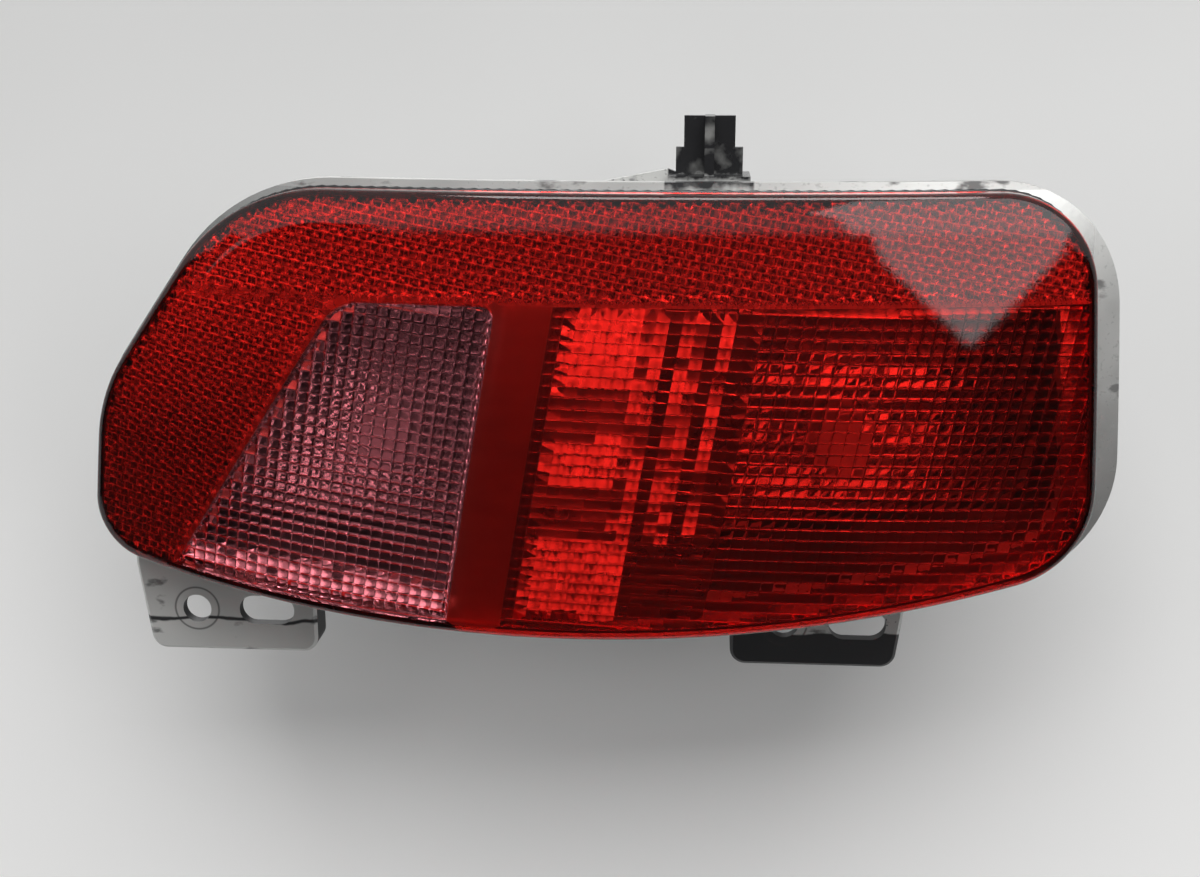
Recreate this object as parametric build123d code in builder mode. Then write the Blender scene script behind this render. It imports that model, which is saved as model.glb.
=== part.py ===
"""Rear bumper lamp: reflex reflector, rear fog lamp and reversing lamp behind one lens.

X runs along the bumper, Z is up and the lens faces -Y.  The origin lies midway between the
two bracket screw holes, on the front face of the brackets.
"""
import os
from math import ceil, cos, radians, sin, sqrt, tan

from build123d import *

os.makedirs("parts", exist_ok=True)

# Lens outline
lens_width = 244.6
lens_height = 104.2
lens_shift = 24.8
lens_rise = 8.0
bottom_radius = 477.0
bottom_shift = -6.8
left_lean = 8.5
right_lean = 4.0
hip_rise = 53.5
shoulder_slant = 36.7
shoulder_round = 46.0
hip_round = 45.0
bottom_left_round = 14.0
bottom_right_round = 22.0
top_right_round = 23.0

# Lens face, a cap of a large ball
face_radius = 400.0
face_depth = 38.0
face_shift = 15.3
face_rise = -1.8
lens_wall = 2.8
edge_bevel = 2.0
skirt_depth = 7.0

# Fields of the lens
reflex_band = 24.8
column_lean = 10.0
divider_width = 12.8
divider_shift = -16.3
reversing_width = 37.0
reversing_slant = 34.0
reversing_frame = 2.6
reversing_round = 6.0
fog_frame = 4.6
optic_frame = 0.6
optic_overlap = 0.8
optic_proud = 0.1
pillow_pitch = 7.5
pillow_height = 0.6
ridge_pitch = 6.0
ridge_height = 1.4

# Housing plate, which the lens skirt stands on
plate_wall = 3.0
rim_top = 2.0
rim_right = 6.8
rim_left = 2.0
rim_bottom = 1.6

# Reflector bowls
bowl_wall = 2.4
bowl_depth = 30.0
bowl_focus = 34.0
bowl_swing = 125.0
shell_facets = 6
fog_axis_shift = 64.3
reversing_axis_shift = -48.7
axis_rise = 39.0
window_land = 5.0
flute_pitch = 11.2
flute_height = 1.2

# Brackets
screw_spacing = 153.3
screw_hole = 7.5
slot_length = 14.5
slot_width = 7.8
slot_step = 18.6
left_bracket_start = 12.4
left_bracket_width = 44.1
right_bracket_start = 13.7
right_bracket_width = 41.9
bracket_taper = 7.5
bracket_knee = 4.0
bracket_drop = 11.5
bracket_wall = 3.0
bracket_depth = 9.0
bracket_flange = 2.2
bracket_round = 4.0
bracket_bevel = 0.8
bracket_rise = 34.0
gusset_wall = 2.4
gusset_inset = 6.0
gusset_height = 12.0

# Locating peg on its shelf
peg_shift = 30.6
peg_back = 5.0
peg_wall = 2.3
peg_head_width = 12.2
peg_head_height = 7.4
peg_neck_width = 16.0
peg_neck_height = 6.4
peg_foot_width = 19.6
peg_foot_depth = 15.0
peg_foot_height = 2.5
shelf_wall = 2.4
shelf_drop = 1.4
shelf_width = 26.0
shelf_back = 14.0
wing_length = 19.0
wing_height = 3.7
rib_wall = 1.8
rib_count = 5
rib_back = -4.0

# Wedge bulbs
glass_radius = 7.6
glass_length = 26.0
glass_bevel = 2.0
wedge_width = 14.6
wedge_height = 4.8
wedge_length = 9.0
spring_wall = 0.8

# Bulb holders, which twist into collars behind the bowls
collar_wall = 3.2
collar_length = 8.0
holder_hole = 30.0
holder_gap = 0.3
holder_flange = 3.0
holder_rim = 3.5
holder_body = 12.5
holder_back = 8.0
holder_front = 7.0
socket_gap = 0.2
flange_sides = 8
lug_count = 3
lug_width = 6.0
lug_reach = 2.2
lug_wall = 2.0
lug_forward = 7.0
lug_turn = 40.0
grip_width = 5.0
grip_inset = 2.0
seal_wall = 1.8
seal_width = 2.6
shroud_width = 19.0
shroud_height = 12.0
shroud_length = 13.0
shroud_wall = 1.5
latch_width = 6.0
latch_height = 2.0
latch_length = 4.0
blade_width = 2.8
blade_wall = 0.8
blade_step = 6.0
blade_length = 7.0
blade_root = 4.0

# Places worked out from those sizes
lens_left = lens_shift - lens_width / 2
lens_right = lens_shift + lens_width / 2
lens_bottom = lens_rise
lens_top = lens_rise + lens_height
bottom_x = lens_shift + bottom_shift
reflex_line = lens_top - reflex_band
ball_centre = (
    lens_shift + face_shift,
    face_radius - face_depth,
    (lens_bottom + lens_top) / 2 + face_rise,
)
divider_left = lens_shift + divider_shift
divider_right = divider_left + divider_width
fog_x = lens_shift + fog_axis_shift
reversing_x = lens_shift + reversing_axis_shift
axis_z = lens_bottom + axis_rise
holes_x = (-screw_spacing / 2, screw_spacing / 2)
left_bracket_end = holes_x[0] - left_bracket_start
right_bracket_end = holes_x[1] - right_bracket_start
brackets = (
    (left_bracket_end + left_bracket_width, left_bracket_end),
    (right_bracket_end, right_bracket_end + right_bracket_width),
)
peg_x = lens_shift + peg_shift
shelf_top = lens_top - shelf_drop
across = (cos(radians(column_lean)), 0, -sin(radians(column_lean)))
along = (sin(radians(column_lean)), 0, cos(radians(column_lean)))
reach = face_radius / 4
holder_nose = bowl_depth - holder_front
wedge_back = holder_nose + wedge_length
collar_end = bowl_depth + bowl_wall + collar_length
flange_front = collar_end + seal_wall
flange_back = flange_front + holder_flange
body_back = flange_back + holder_back
shroud_end = body_back + shroud_length
holder_radius = holder_hole / 2 - holder_gap
flange_radius = holder_hole / 2 + collar_wall + holder_rim
socket_floor = wedge_back + spring_wall


def bottom_z(x, lowest, radius):
    """Height of the round bottom edge at x."""
    return lowest + radius - sqrt(radius**2 - (x - bottom_x) ** 2)


def lamp_outline(left=0.0, right=0.0, top=0.0, bottom=0.0):
    """Outline of the lamp, each side pushed out by so much."""
    x0 = lens_left - left
    x1 = lens_right + right
    z0 = lens_bottom - bottom
    z1 = lens_top + top
    low = bottom_radius + bottom
    corner_left = (x0, bottom_z(x0, z0, low))
    corner_right = (x1, bottom_z(x1, z0, low))
    hip_z = lens_bottom + hip_rise
    hip = (x0 + (hip_z - corner_left[1]) * tan(radians(left_lean)), hip_z)
    shoulder = (hip[0] + (z1 - hip_z) * tan(radians(shoulder_slant)), z1)
    top_right = (x1 - (z1 - corner_right[1]) * tan(radians(right_lean)), z1)
    rounds = (
        (shoulder, shoulder_round + left),
        (hip, hip_round + left),
        (corner_left, bottom_left_round + left),
        (corner_right, bottom_right_round + right),
        (top_right, top_right_round + right),
    )
    with BuildSketch() as sketch:
        with BuildLine():
            Line(shoulder, top_right)
            Line(top_right, corner_right)
            ThreePointArc(corner_right, (bottom_x, z0), corner_left)
            Polyline(corner_left, hip, shoulder)
        make_face()
        for corner, radius in rounds:
            fillet(sketch.vertices().sort_by_distance((*corner, 0))[0], radius)
    return sketch.sketch


def leaning_x(x, z):
    """Where a leaning line that crosses the reflex line at x is at height z."""
    return x - (reflex_line - z) * tan(radians(column_lean))


def reversing_edge(z):
    """Left edge of the reversing window at height z."""
    return divider_left - reversing_width - (reflex_line - z) * tan(radians(reversing_slant))


def reversing_window(margin, inset):
    """Reversing window, a margin inside the lens outline and inset from its own edges."""
    low = lens_bottom - reach
    high = reflex_line - inset
    with BuildSketch() as sketch:
        add(lens_outline)
        offset(amount=-margin, mode=Mode.REPLACE)
        with BuildLine():
            Polyline(
                (reversing_edge(high) + inset, high),
                (leaning_x(divider_left, high) - inset, high),
                (leaning_x(divider_left, low) - inset, low),
                (reversing_edge(low) + inset, low),
                close=True,
            )
        make_face(mode=Mode.INTERSECT)
        corner = (divider_left - reversing_width, reflex_line, 0)
        fillet(sketch.vertices().sort_by_distance(corner)[0], reversing_round)
    return sketch.sketch


def fog_window(margin, inset):
    """Fog window, a margin inside the lens outline and inset from its own edges."""
    low = lens_bottom - reach
    high = reflex_line - inset
    far = lens_right + reach
    with BuildSketch() as sketch:
        add(lens_outline)
        offset(amount=-margin, mode=Mode.REPLACE)
        with BuildLine():
            Polyline(
                (leaning_x(divider_right, high) + inset, high),
                (far, high),
                (far, low),
                (leaning_x(divider_right, low) + inset, low),
                close=True,
            )
        make_face(mode=Mode.INTERSECT)
    return sketch.sketch


def bracket_outline(inner, outer):
    """Outline of a bracket between two sides, of which the outer one leans outwards to a knee."""
    knee = lens_bottom + bracket_knee
    top = lens_bottom + bracket_rise
    lean = (knee + bracket_drop) * tan(radians(bracket_taper))
    leaning = outer + (lean if outer > inner else -lean)
    with BuildSketch() as sketch:
        with BuildLine():
            Polyline(
                (inner, -bracket_drop),
                (outer, -bracket_drop),
                (leaning, knee),
                (leaning, top),
                (inner, top),
                close=True,
            )
        make_face()
        fillet(sketch.vertices(), bracket_round)
    return sketch.sketch


def bracket(inner, outer):
    """Bracket with a bevelled front and a dished back."""
    with BuildPart() as plate:
        with BuildSketch(Plane.XZ):
            add(bracket_outline(inner, outer))
        extrude(amount=-bracket_depth)
        front = plate.faces().sort_by(Axis.Y)[0]
        chamfer(front.edges(), bracket_bevel)
        with BuildSketch(Plane.XZ.offset(-bracket_wall)):
            add(bracket_outline(inner, outer))
            offset(amount=-bracket_flange, mode=Mode.REPLACE)
        extrude(amount=bracket_wall - bracket_depth, mode=Mode.SUBTRACT)
    return plate.part


def rear_plane(x, y, z):
    """Plane that faces the back of the lamp."""
    return Plane(origin=(x, y, z), x_dir=(1, 0, 0), z_dir=(0, 1, 0))


lens_outline = lamp_outline()
rim_outline = lamp_outline(rim_left, rim_right, rim_top, rim_bottom)
plate_front = face_radius - skirt_depth
fog_opening = fog_window(lens_wall + window_land, bowl_wall)
reversing_opening = reversing_window(lens_wall + window_land, bowl_wall)


def optic_strip(along_row, outward, start, stop, pitch, height):
    """Ridges that follow the back of the lens skin, from start to stop across them."""
    base = face_radius - lens_wall + optic_overlap
    foot = face_radius - lens_wall - optic_proud
    crest = foot - height
    count = ceil((stop - start) / pitch)
    first = start / foot
    last = first + count * pitch / foot

    def at(radius, angle):
        return (radius * sin(angle), radius * cos(angle))

    plane = Plane(origin=ball_centre, x_dir=along_row, z_dir=Vector(along_row).cross(Vector(outward)))
    with BuildPart() as strip:
        with BuildSketch(plane):
            with BuildLine():
                for row in range(count):
                    near = first + row * pitch / foot
                    far = near + pitch / foot
                    Polyline(at(foot, near), at(crest, (near + far) / 2), at(foot, far))
                Line(at(foot, last), at(base, last))
                ThreePointArc(at(base, last), at(base, (first + last) / 2), at(base, first))
                Line(at(base, first), at(foot, first))
            make_face()
        revolve(axis=Axis(ball_centre, along_row), revolution_arc=180)
    return strip.part


def reflector(window, axis_x, wall, fluted):
    """Everything in front of a reflector, or of its back where a wall is added."""
    box = window.bounding_box()
    spill = lens_height * sin(radians(column_lean))
    first = box.min.X - axis_x - spill
    last = box.max.X - axis_x + spill

    def swing(s):
        return bowl_swing + wall - s**2 / (4 * bowl_focus)

    plane = Plane(
        origin=(axis_x, bowl_depth - bowl_swing, axis_z),
        x_dir=across,
        z_dir=(0, -1, 0),
    )
    count = ceil((last - first) / flute_pitch) if fluted else shell_facets
    step = (last - first) / count
    profile = [(first, swing(first))]
    for flute in range(count):
        near = first + flute * step
        if fluted:
            profile.append((near + step / 2, swing(near + step / 2) - flute_height))
        profile.append((near + step, swing(near + step)))
    with BuildPart() as room:
        with BuildSketch(plane):
            with BuildLine():
                Polyline(*profile, (last, 0), (first, 0), close=True)
            make_face()
        revolve(axis=Axis(plane.origin, -plane.x_dir), revolution_arc=180)
        with BuildSketch(Plane.XZ):
            add(window)
            if wall:
                offset(amount=wall, kind=Kind.INTERSECTION, mode=Mode.REPLACE)
        extrude(amount=reach, both=True, mode=Mode.INTERSECT)
    return room.part


# Solid lens and the hollow behind its skin
with BuildPart() as lens_block:
    with BuildSketch(Plane.XZ):
        add(lens_outline)
    extrude(amount=reach, both=True)
    with Locations(ball_centre):
        Sphere(face_radius, mode=Mode.INTERSECT)
        Sphere(face_radius - skirt_depth, mode=Mode.SUBTRACT)
    front = lens_block.faces().filter_by(GeomType.SPHERE).sort_by(Axis.Y)[0]
    chamfer(front.edges(), edge_bevel)

with BuildPart() as lens_hollow:
    with BuildSketch(Plane.XZ):
        add(lens_outline)
        offset(amount=-lens_wall, mode=Mode.REPLACE)
    extrude(amount=reach, both=True)
    with Locations(ball_centre):
        Sphere(face_radius - lens_wall, mode=Mode.INTERSECT)

reversing_prism = extrude(
    Plane.XZ * reversing_window(reversing_frame, 0), amount=reach, both=True
)

# Fields of the lens that carry optics
with BuildPart() as fog_prism:
    with BuildSketch(Plane.XZ):
        add(fog_window(fog_frame, 0))
    extrude(amount=reach, both=True)

with BuildPart() as reversing_optic_prism:
    with BuildSketch(Plane.XZ):
        add(reversing_window(fog_frame, optic_frame))
    extrude(amount=reach, both=True)

with BuildPart() as reflex_prism:
    low = lens_bottom - reach
    with BuildSketch(Plane.XZ):
        add(lens_outline)
        offset(amount=-fog_frame, mode=Mode.REPLACE)
        with BuildLine():
            Polyline(
                (reversing_edge(low) - optic_frame, low),
                (reversing_edge(reflex_line) - optic_frame, reflex_line + optic_frame),
                (lens_right + reach, reflex_line + optic_frame),
                (lens_right + reach, low),
                close=True,
            )
        make_face(mode=Mode.SUBTRACT)
    extrude(amount=reach, both=True)

# Ridges on the back of each field
half_width = lens_width / 2
upright = (0, 0, 1)
sideways = (-1, 0, 0)
fog_columns = optic_strip(across, along, -half_width, half_width, pillow_pitch, pillow_height)
reversing_rows = optic_strip(upright, sideways, -lens_height, lens_height, pillow_pitch, pillow_height)
reflex_rows = optic_strip(upright, sideways, -lens_height, lens_height, ridge_pitch, ridge_height)

# Red lens, with an opening for the clear window
with BuildPart() as red_lens:
    add(lens_block)
    add(lens_hollow, mode=Mode.SUBTRACT)
    add(reversing_prism, mode=Mode.SUBTRACT)
    add(fog_columns & fog_prism.part)
    add(reflex_rows & reflex_prism.part)
red_lens.part.label = "red_lens"
export_step(red_lens.part, "parts/red_lens.step")

# Clear reversing window, moulded into the red lens
with BuildPart() as reversing_lens:
    add(lens_block)
    add(reversing_prism, mode=Mode.INTERSECT)
    add(lens_hollow, mode=Mode.SUBTRACT)
    add(reversing_rows & reversing_optic_prism.part)
reversing_lens.part.label = "reversing_lens"
export_step(reversing_lens.part, "parts/reversing_lens.step")

# Bowls of the housing, with what stands behind its front plate
with BuildPart() as housing_back:
    add(reflector(fog_opening, fog_x, bowl_wall, False))
    add(reflector(reversing_opening, reversing_x, bowl_wall, False))
    # Collars for the bulb holders
    for axis_x in (fog_x, reversing_x):
        with BuildSketch(rear_plane(axis_x, holder_nose, axis_z)):
            Circle(holder_hole / 2 + collar_wall)
        extrude(amount=collar_end - holder_nose)
    # Brackets, dished at the back, with gussets to the front plate
    gusset_z = lens_bottom + bracket_rise - bracket_round - gusset_height / 2
    for inner, outer in brackets:
        add(bracket(inner, outer))
        with BuildSketch(Plane.XZ.offset(-bracket_wall)):
            with Locations((min(inner, outer) + gusset_inset, gusset_z)):
                Rectangle(gusset_wall, gusset_height)
        extrude(amount=reach)
    # Shelf and ribs behind the reflex band
    with BuildSketch(Plane.XY.offset(shelf_top - shelf_wall)):
        with Locations((peg_x, shelf_back)):
            Rectangle(shelf_width, reach, align=(Align.CENTER, Align.MAX))
        with Locations((peg_x - shelf_width / 2, peg_back)):
            Rectangle(wing_length, peg_foot_depth, align=(Align.MAX, Align.CENTER))
    extrude(amount=shelf_wall)
    with BuildSketch(Plane.XZ.offset(rib_wall / 2 - peg_back)):
        with BuildLine():
            Polyline(
                (peg_x - peg_foot_width / 2 - wing_length, shelf_top),
                (peg_x - peg_foot_width / 2, shelf_top + wing_height),
                (peg_x, shelf_top),
                close=True,
            )
        make_face()
    extrude(amount=-rib_wall)
    for rib in range(rib_count):
        rib_x = divider_right + (rib + 0.5) * (lens_right - top_right_round - divider_right) / rib_count
        with BuildSketch(Plane.YZ.offset(rib_x - rib_wall / 2)):
            with Locations((rib_back, reflex_line - bowl_wall)):
                Rectangle(reach, shelf_top - reflex_line, align=(Align.MAX, Align.MIN))
        extrude(amount=rib_wall)
    # Locating peg, a cross on a foot
    peg_levels = (
        (peg_neck_width, peg_neck_height + peg_foot_height),
        (peg_head_width, peg_neck_height + peg_foot_height + peg_head_height),
    )
    with BuildSketch(Plane.XY.offset(shelf_top)):
        with Locations((peg_x, peg_back)):
            Rectangle(peg_foot_width, peg_foot_depth)
    extrude(amount=peg_foot_height)
    for width, height in peg_levels:
        with BuildSketch(Plane.XY.offset(shelf_top)):
            with Locations((peg_x, peg_back)):
                Rectangle(width, peg_wall)
                Rectangle(peg_wall, width * peg_foot_depth / peg_foot_width)
        extrude(amount=height)
    # Everything so far ends inside the front plate
    with Locations(ball_centre):
        Sphere(plate_front - plate_wall / 2, mode=Mode.INTERSECT)

# Housing: front plate, bowls, brackets and peg in one moulding
with BuildPart() as plate:
    with BuildSketch(Plane.XZ):
        add(rim_outline)
    extrude(amount=reach, both=True)
    with Locations(ball_centre):
        Sphere(plate_front, mode=Mode.INTERSECT)
        Sphere(plate_front - plate_wall, mode=Mode.SUBTRACT)

with BuildPart() as housing:
    add(plate)
    add(housing_back)
    add(reflector(fog_opening, fog_x, 0, True), mode=Mode.SUBTRACT)
    add(reflector(reversing_opening, reversing_x, 0, True), mode=Mode.SUBTRACT)
    # Holes for the bulb holders, notched for their lugs
    for axis_x in (fog_x, reversing_x):
        with BuildSketch(rear_plane(axis_x, 0, axis_z)):
            Circle(holder_hole / 2)
            with PolarLocations(holder_radius, lug_count, start_angle=lug_turn):
                Rectangle(2 * (lug_reach + holder_gap), lug_width + 2 * holder_gap)
        extrude(amount=reach, mode=Mode.SUBTRACT)
    # Screw holes and slots in the brackets
    for hole_x in holes_x:
        with BuildSketch(Plane.XZ.offset(bracket_drop)):
            with Locations((hole_x, 0)):
                Circle(screw_hole / 2)
            with Locations((hole_x + slot_step, 0)):
                SlotOverall(slot_length, slot_width)
        extrude(amount=-bracket_drop - bracket_depth, mode=Mode.SUBTRACT)
housing.part.label = "housing"
export_step(housing.part, "parts/housing.step")

# Bulb, holder and contacts of each lamp, on one axis
for lamp, axis_x in (("fog", fog_x), ("reversing", reversing_x)):
    with BuildPart() as bulb:
        with BuildSketch(rear_plane(axis_x, holder_nose - glass_length, axis_z)):
            Circle(glass_radius)
        extrude(amount=glass_length)
        tip = bulb.faces().sort_by(Axis.Y)[0]
        chamfer(tip.edges(), glass_bevel)
        with BuildSketch(rear_plane(axis_x, holder_nose, axis_z)):
            Rectangle(wedge_width, wedge_height)
        extrude(amount=wedge_length)
    bulb.part.label = f"{lamp}_bulb"
    export_step(bulb.part, f"parts/{lamp}_bulb.step")

    with BuildPart() as spring:
        with BuildSketch(rear_plane(axis_x, wedge_back, axis_z)):
            Rectangle(wedge_width, wedge_height)
        extrude(amount=spring_wall)
    spring.part.label = f"{lamp}_contact_spring"
    export_step(spring.part, f"parts/{lamp}_contact_spring.step")

    with BuildPart() as blades:
        with BuildSketch(rear_plane(axis_x, body_back - blade_root, axis_z)):
            with GridLocations(blade_step, 1, 2, 1):
                Rectangle(blade_wall, blade_width)
        extrude(amount=blade_root + blade_length)
    blades.part.label = f"{lamp}_terminals"
    export_step(blades.part, f"parts/{lamp}_terminals.step")

    with BuildPart() as holder:
        # Neck with its lugs, then the flange
        with BuildSketch(rear_plane(axis_x, holder_nose, axis_z)):
            Circle(holder_radius)
        extrude(amount=flange_front - holder_nose)
        with BuildSketch(rear_plane(axis_x, bowl_depth - lug_forward, axis_z)):
            with PolarLocations(holder_radius, lug_count):
                Rectangle(2 * lug_reach, lug_width)
        extrude(amount=lug_wall)
        with BuildSketch(rear_plane(axis_x, flange_front, axis_z)):
            RegularPolygon(flange_radius, flange_sides, major_radius=False, rotation=180 / flange_sides)
        extrude(amount=holder_flange)
        # Body with a grip on each side, then the connector shroud
        with BuildSketch(rear_plane(axis_x, flange_back, axis_z)):
            Rectangle(shroud_width, 2 * holder_body)
            Rectangle(2 * (flange_radius - grip_inset), grip_width)
        extrude(amount=holder_back)
        with BuildSketch(rear_plane(axis_x, body_back, axis_z)):
            Rectangle(shroud_width, shroud_height)
        extrude(amount=shroud_length)
        with BuildSketch(rear_plane(axis_x, body_back, axis_z)):
            Rectangle(shroud_width - 2 * shroud_wall, shroud_height - 2 * shroud_wall)
        extrude(amount=shroud_length, mode=Mode.SUBTRACT)
        with BuildSketch(rear_plane(axis_x, shroud_end - latch_length, axis_z)):
            with Locations((0, -shroud_height / 2)):
                Rectangle(latch_width, 2 * latch_height)
            Rectangle(shroud_width, shroud_height, mode=Mode.SUBTRACT)
        extrude(amount=latch_length)
        # Slot for the wedge of the bulb
        with BuildSketch(rear_plane(axis_x, holder_nose, axis_z)):
            Rectangle(wedge_width + 2 * socket_gap, wedge_height + 2 * socket_gap)
        extrude(amount=socket_floor - holder_nose, mode=Mode.SUBTRACT)
        add(blades, mode=Mode.SUBTRACT)
    holder.part.label = f"{lamp}_bulb_holder"
    export_step(holder.part, f"parts/{lamp}_bulb_holder.step")

# Seals under the holder flanges
with BuildPart() as holder_seals:
    for axis_x in (fog_x, reversing_x):
        with BuildSketch(rear_plane(axis_x, collar_end, axis_z)):
            Circle(holder_hole / 2 + seal_width)
            Circle(holder_hole / 2, mode=Mode.SUBTRACT)
        extrude(amount=seal_wall)
holder_seals.part.label = "holder_seals"
export_step(holder_seals.part, "parts/holder_seals.step")
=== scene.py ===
"""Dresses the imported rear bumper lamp: lens optics, reflectors, finishes and a plain stage.

Everything is in metres in the part's own frame: X along the bumper, Z up, lens facing -Y.
"""

from functools import partial
from math import ceil, pi, radians, sqrt, tan

import bpy
import numpy as np
from bpy.props import FloatProperty, FloatVectorProperty, PointerProperty
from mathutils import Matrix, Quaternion, Vector
from mathutils.geometry import delaunay_2d_cdt


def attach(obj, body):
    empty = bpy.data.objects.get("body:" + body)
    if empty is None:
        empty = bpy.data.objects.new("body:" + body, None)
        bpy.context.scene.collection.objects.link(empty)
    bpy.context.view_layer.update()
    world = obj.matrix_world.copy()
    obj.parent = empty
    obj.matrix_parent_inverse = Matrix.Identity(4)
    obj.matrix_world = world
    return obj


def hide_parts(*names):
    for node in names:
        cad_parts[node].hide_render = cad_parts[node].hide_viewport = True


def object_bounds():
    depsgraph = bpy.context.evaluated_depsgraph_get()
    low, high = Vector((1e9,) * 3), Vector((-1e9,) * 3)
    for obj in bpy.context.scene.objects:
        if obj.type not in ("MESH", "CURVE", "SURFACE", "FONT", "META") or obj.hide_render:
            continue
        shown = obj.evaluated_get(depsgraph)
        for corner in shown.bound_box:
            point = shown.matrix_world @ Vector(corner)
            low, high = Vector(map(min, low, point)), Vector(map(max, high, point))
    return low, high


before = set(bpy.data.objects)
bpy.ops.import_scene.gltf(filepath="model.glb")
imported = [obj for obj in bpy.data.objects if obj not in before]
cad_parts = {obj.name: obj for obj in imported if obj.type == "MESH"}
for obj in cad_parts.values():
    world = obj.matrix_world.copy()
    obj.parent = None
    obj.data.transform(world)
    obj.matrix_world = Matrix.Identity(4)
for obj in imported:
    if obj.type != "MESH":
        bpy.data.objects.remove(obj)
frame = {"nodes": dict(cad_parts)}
CAD_LOW, CAD_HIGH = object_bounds()

bl_info = {
    "name": "Rear bumper lamp",
    "version": (1, 0, 0),
    "blender": (4, 5, 0),
    "location": "View3D > Sidebar > Lamp",
    "description": "Builds the lens optics, reflectors and finishes of a rear bumper lamp",
    "category": "Object",
}


# Settings


def length(name, description, default):
    """A length in metres."""
    return FloatProperty(name=name, description=description, default=default, unit="LENGTH", precision=5)


def angle(name, description, default):
    """An angle, given in degrees and kept in radians."""
    return FloatProperty(name=name, description=description, default=radians(default), subtype="ANGLE")


def share(name, description, default):
    """A plain number."""
    return FloatProperty(name=name, description=description, default=default, precision=4)


def place(name, description, default):
    """A point in metres."""
    return FloatVectorProperty(
        name=name, description=description, default=default, unit="LENGTH", precision=5
    )


def colour(name, description, default):
    """A linear colour."""
    return FloatVectorProperty(
        name=name, description=description, default=default, subtype="COLOR", size=3, min=0.0, max=1.0
    )


class LAMP_PG_lens(bpy.types.PropertyGroup):
    """Sizes of the lens, the same as in the part's solids."""

    width: length("Width", "Lens from left to right, corner to corner", 0.2446)
    height: length("Height", "Lens from bottom to top", 0.1042)
    shift: length("Shift", "Middle of the lens beside the origin", 0.0248)
    rise: length("Rise", "Lowest point of the lens above the origin", 0.008)
    bottom_radius: length("Bottom radius", "Radius of the bottom edge", 0.477)
    bottom_shift: length("Bottom shift", "Lowest point beside the middle", -0.0068)
    left_lean: angle("Left lean", "Lean of the left side", 8.5)
    right_lean: angle("Right lean", "Lean of the right side", 4.0)
    hip_rise: length("Hip rise", "Height at which the left side turns", 0.0535)
    shoulder_slant: angle("Shoulder slant", "Slant of the left side above the hip", 36.7)
    shoulder: length("Shoulder", "Rounding of the top left corner", 0.046)
    hip: length("Hip", "Rounding of the turn in the left side", 0.045)
    bottom_left: length("Bottom left", "Rounding of the bottom left corner", 0.014)
    bottom_right: length("Bottom right", "Rounding of the bottom right corner", 0.022)
    top_right: length("Top right", "Rounding of the top right corner", 0.023)
    face_radius: length("Face radius", "Radius of the ball that the face is a cap of", 0.4)
    face_depth: length("Face depth", "How far the face stands out in front", 0.038)
    face_shift: length("Face shift", "Crown of the face beside the middle", 0.0153)
    face_rise: length("Face rise", "Crown of the face above the middle", -0.0018)
    wall: length("Wall", "Thickness of the skin", 0.0028)
    skirt_wall: length("Skirt wall", "Thickness of the skirt", 0.0016)
    edge: length("Edge", "Rounding along the edge of the face", 0.0013)
    skirt: length("Skirt", "From the face to the housing plate", 0.007)
    weld: length("Weld", "Gap under the skirt that the weld fills", 0.0009)
    step: length("Step", "Distance between stations along the outline", 0.001)
    crease: length("Crease", "Faint fold of the face inside its upper left edge", 0.0072)
    crease_height: length("Crease height", "Height of that fold", 0.00008)


class LAMP_PG_optics(bpy.types.PropertyGroup):
    """Fields of the lens and what is moulded on their backs."""

    reflex_band: length("Reflex band", "Height of the reflex band", 0.0248)
    lean: angle("Column lean", "Lean of the columns to the right", 10.0)
    divider: length("Divider", "Plain strip between the windows", 0.0128)
    divider_shift: length("Divider shift", "Left side of the strip beside the middle", -0.0163)
    reversing_width: length("Reversing width", "Reversing window along its top", 0.037)
    reversing_slant: angle("Reversing slant", "Slant of the window's left side", 34.0)
    reversing_frame: length("Reversing frame", "Red frame under the reversing window", 0.0024)
    reversing_round: length("Reversing round", "Rounding of the window's top left corner", 0.011)
    window_gap: length("Window gap", "Joint between the two mouldings", 0.00005)
    frame: length("Frame", "Plain border of the optics", 0.0021)
    reflex_gap: length("Reflex gap", "Plain border between the pins and a window", 0.0013)
    pin_side: length("Pin side", "Side of a hexagonal reflex pin", 0.0013)
    pin_depth: share("Pin depth", "Depth of the pins, 1 for true cube corners", 1.0)
    fog_pillow: length("Fog pillow", "Width of a pillow of the fog window", 0.00295)
    fog_row: length("Fog row", "Height of a pillow of the fog window", 0.0026)
    fog_slope: angle("Fog slope", "Slope of the fog window's rows", 2.0)
    fog_bulge: length("Fog bulge", "Height of a fog pillow's curve", 0.00014)
    fog_power: share("Fog power", "Power of the fog pillow's curve, flatter when higher", 6.0)
    reversing_pillow: length("Reversing pillow", "Width of a pillow of the reversing window", 0.0028)
    reversing_row: length("Reversing row", "Height of a pillow of the reversing window", 0.00255)
    reversing_rows: angle("Reversing rows", "Slope of the reversing window's rows", 7.0)
    reversing_bulge: length("Reversing bulge", "Height of a reversing pillow's curve", 0.0003)
    reversing_power: share("Reversing power", "Power of the reversing pillow's curve", 4.0)


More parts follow.
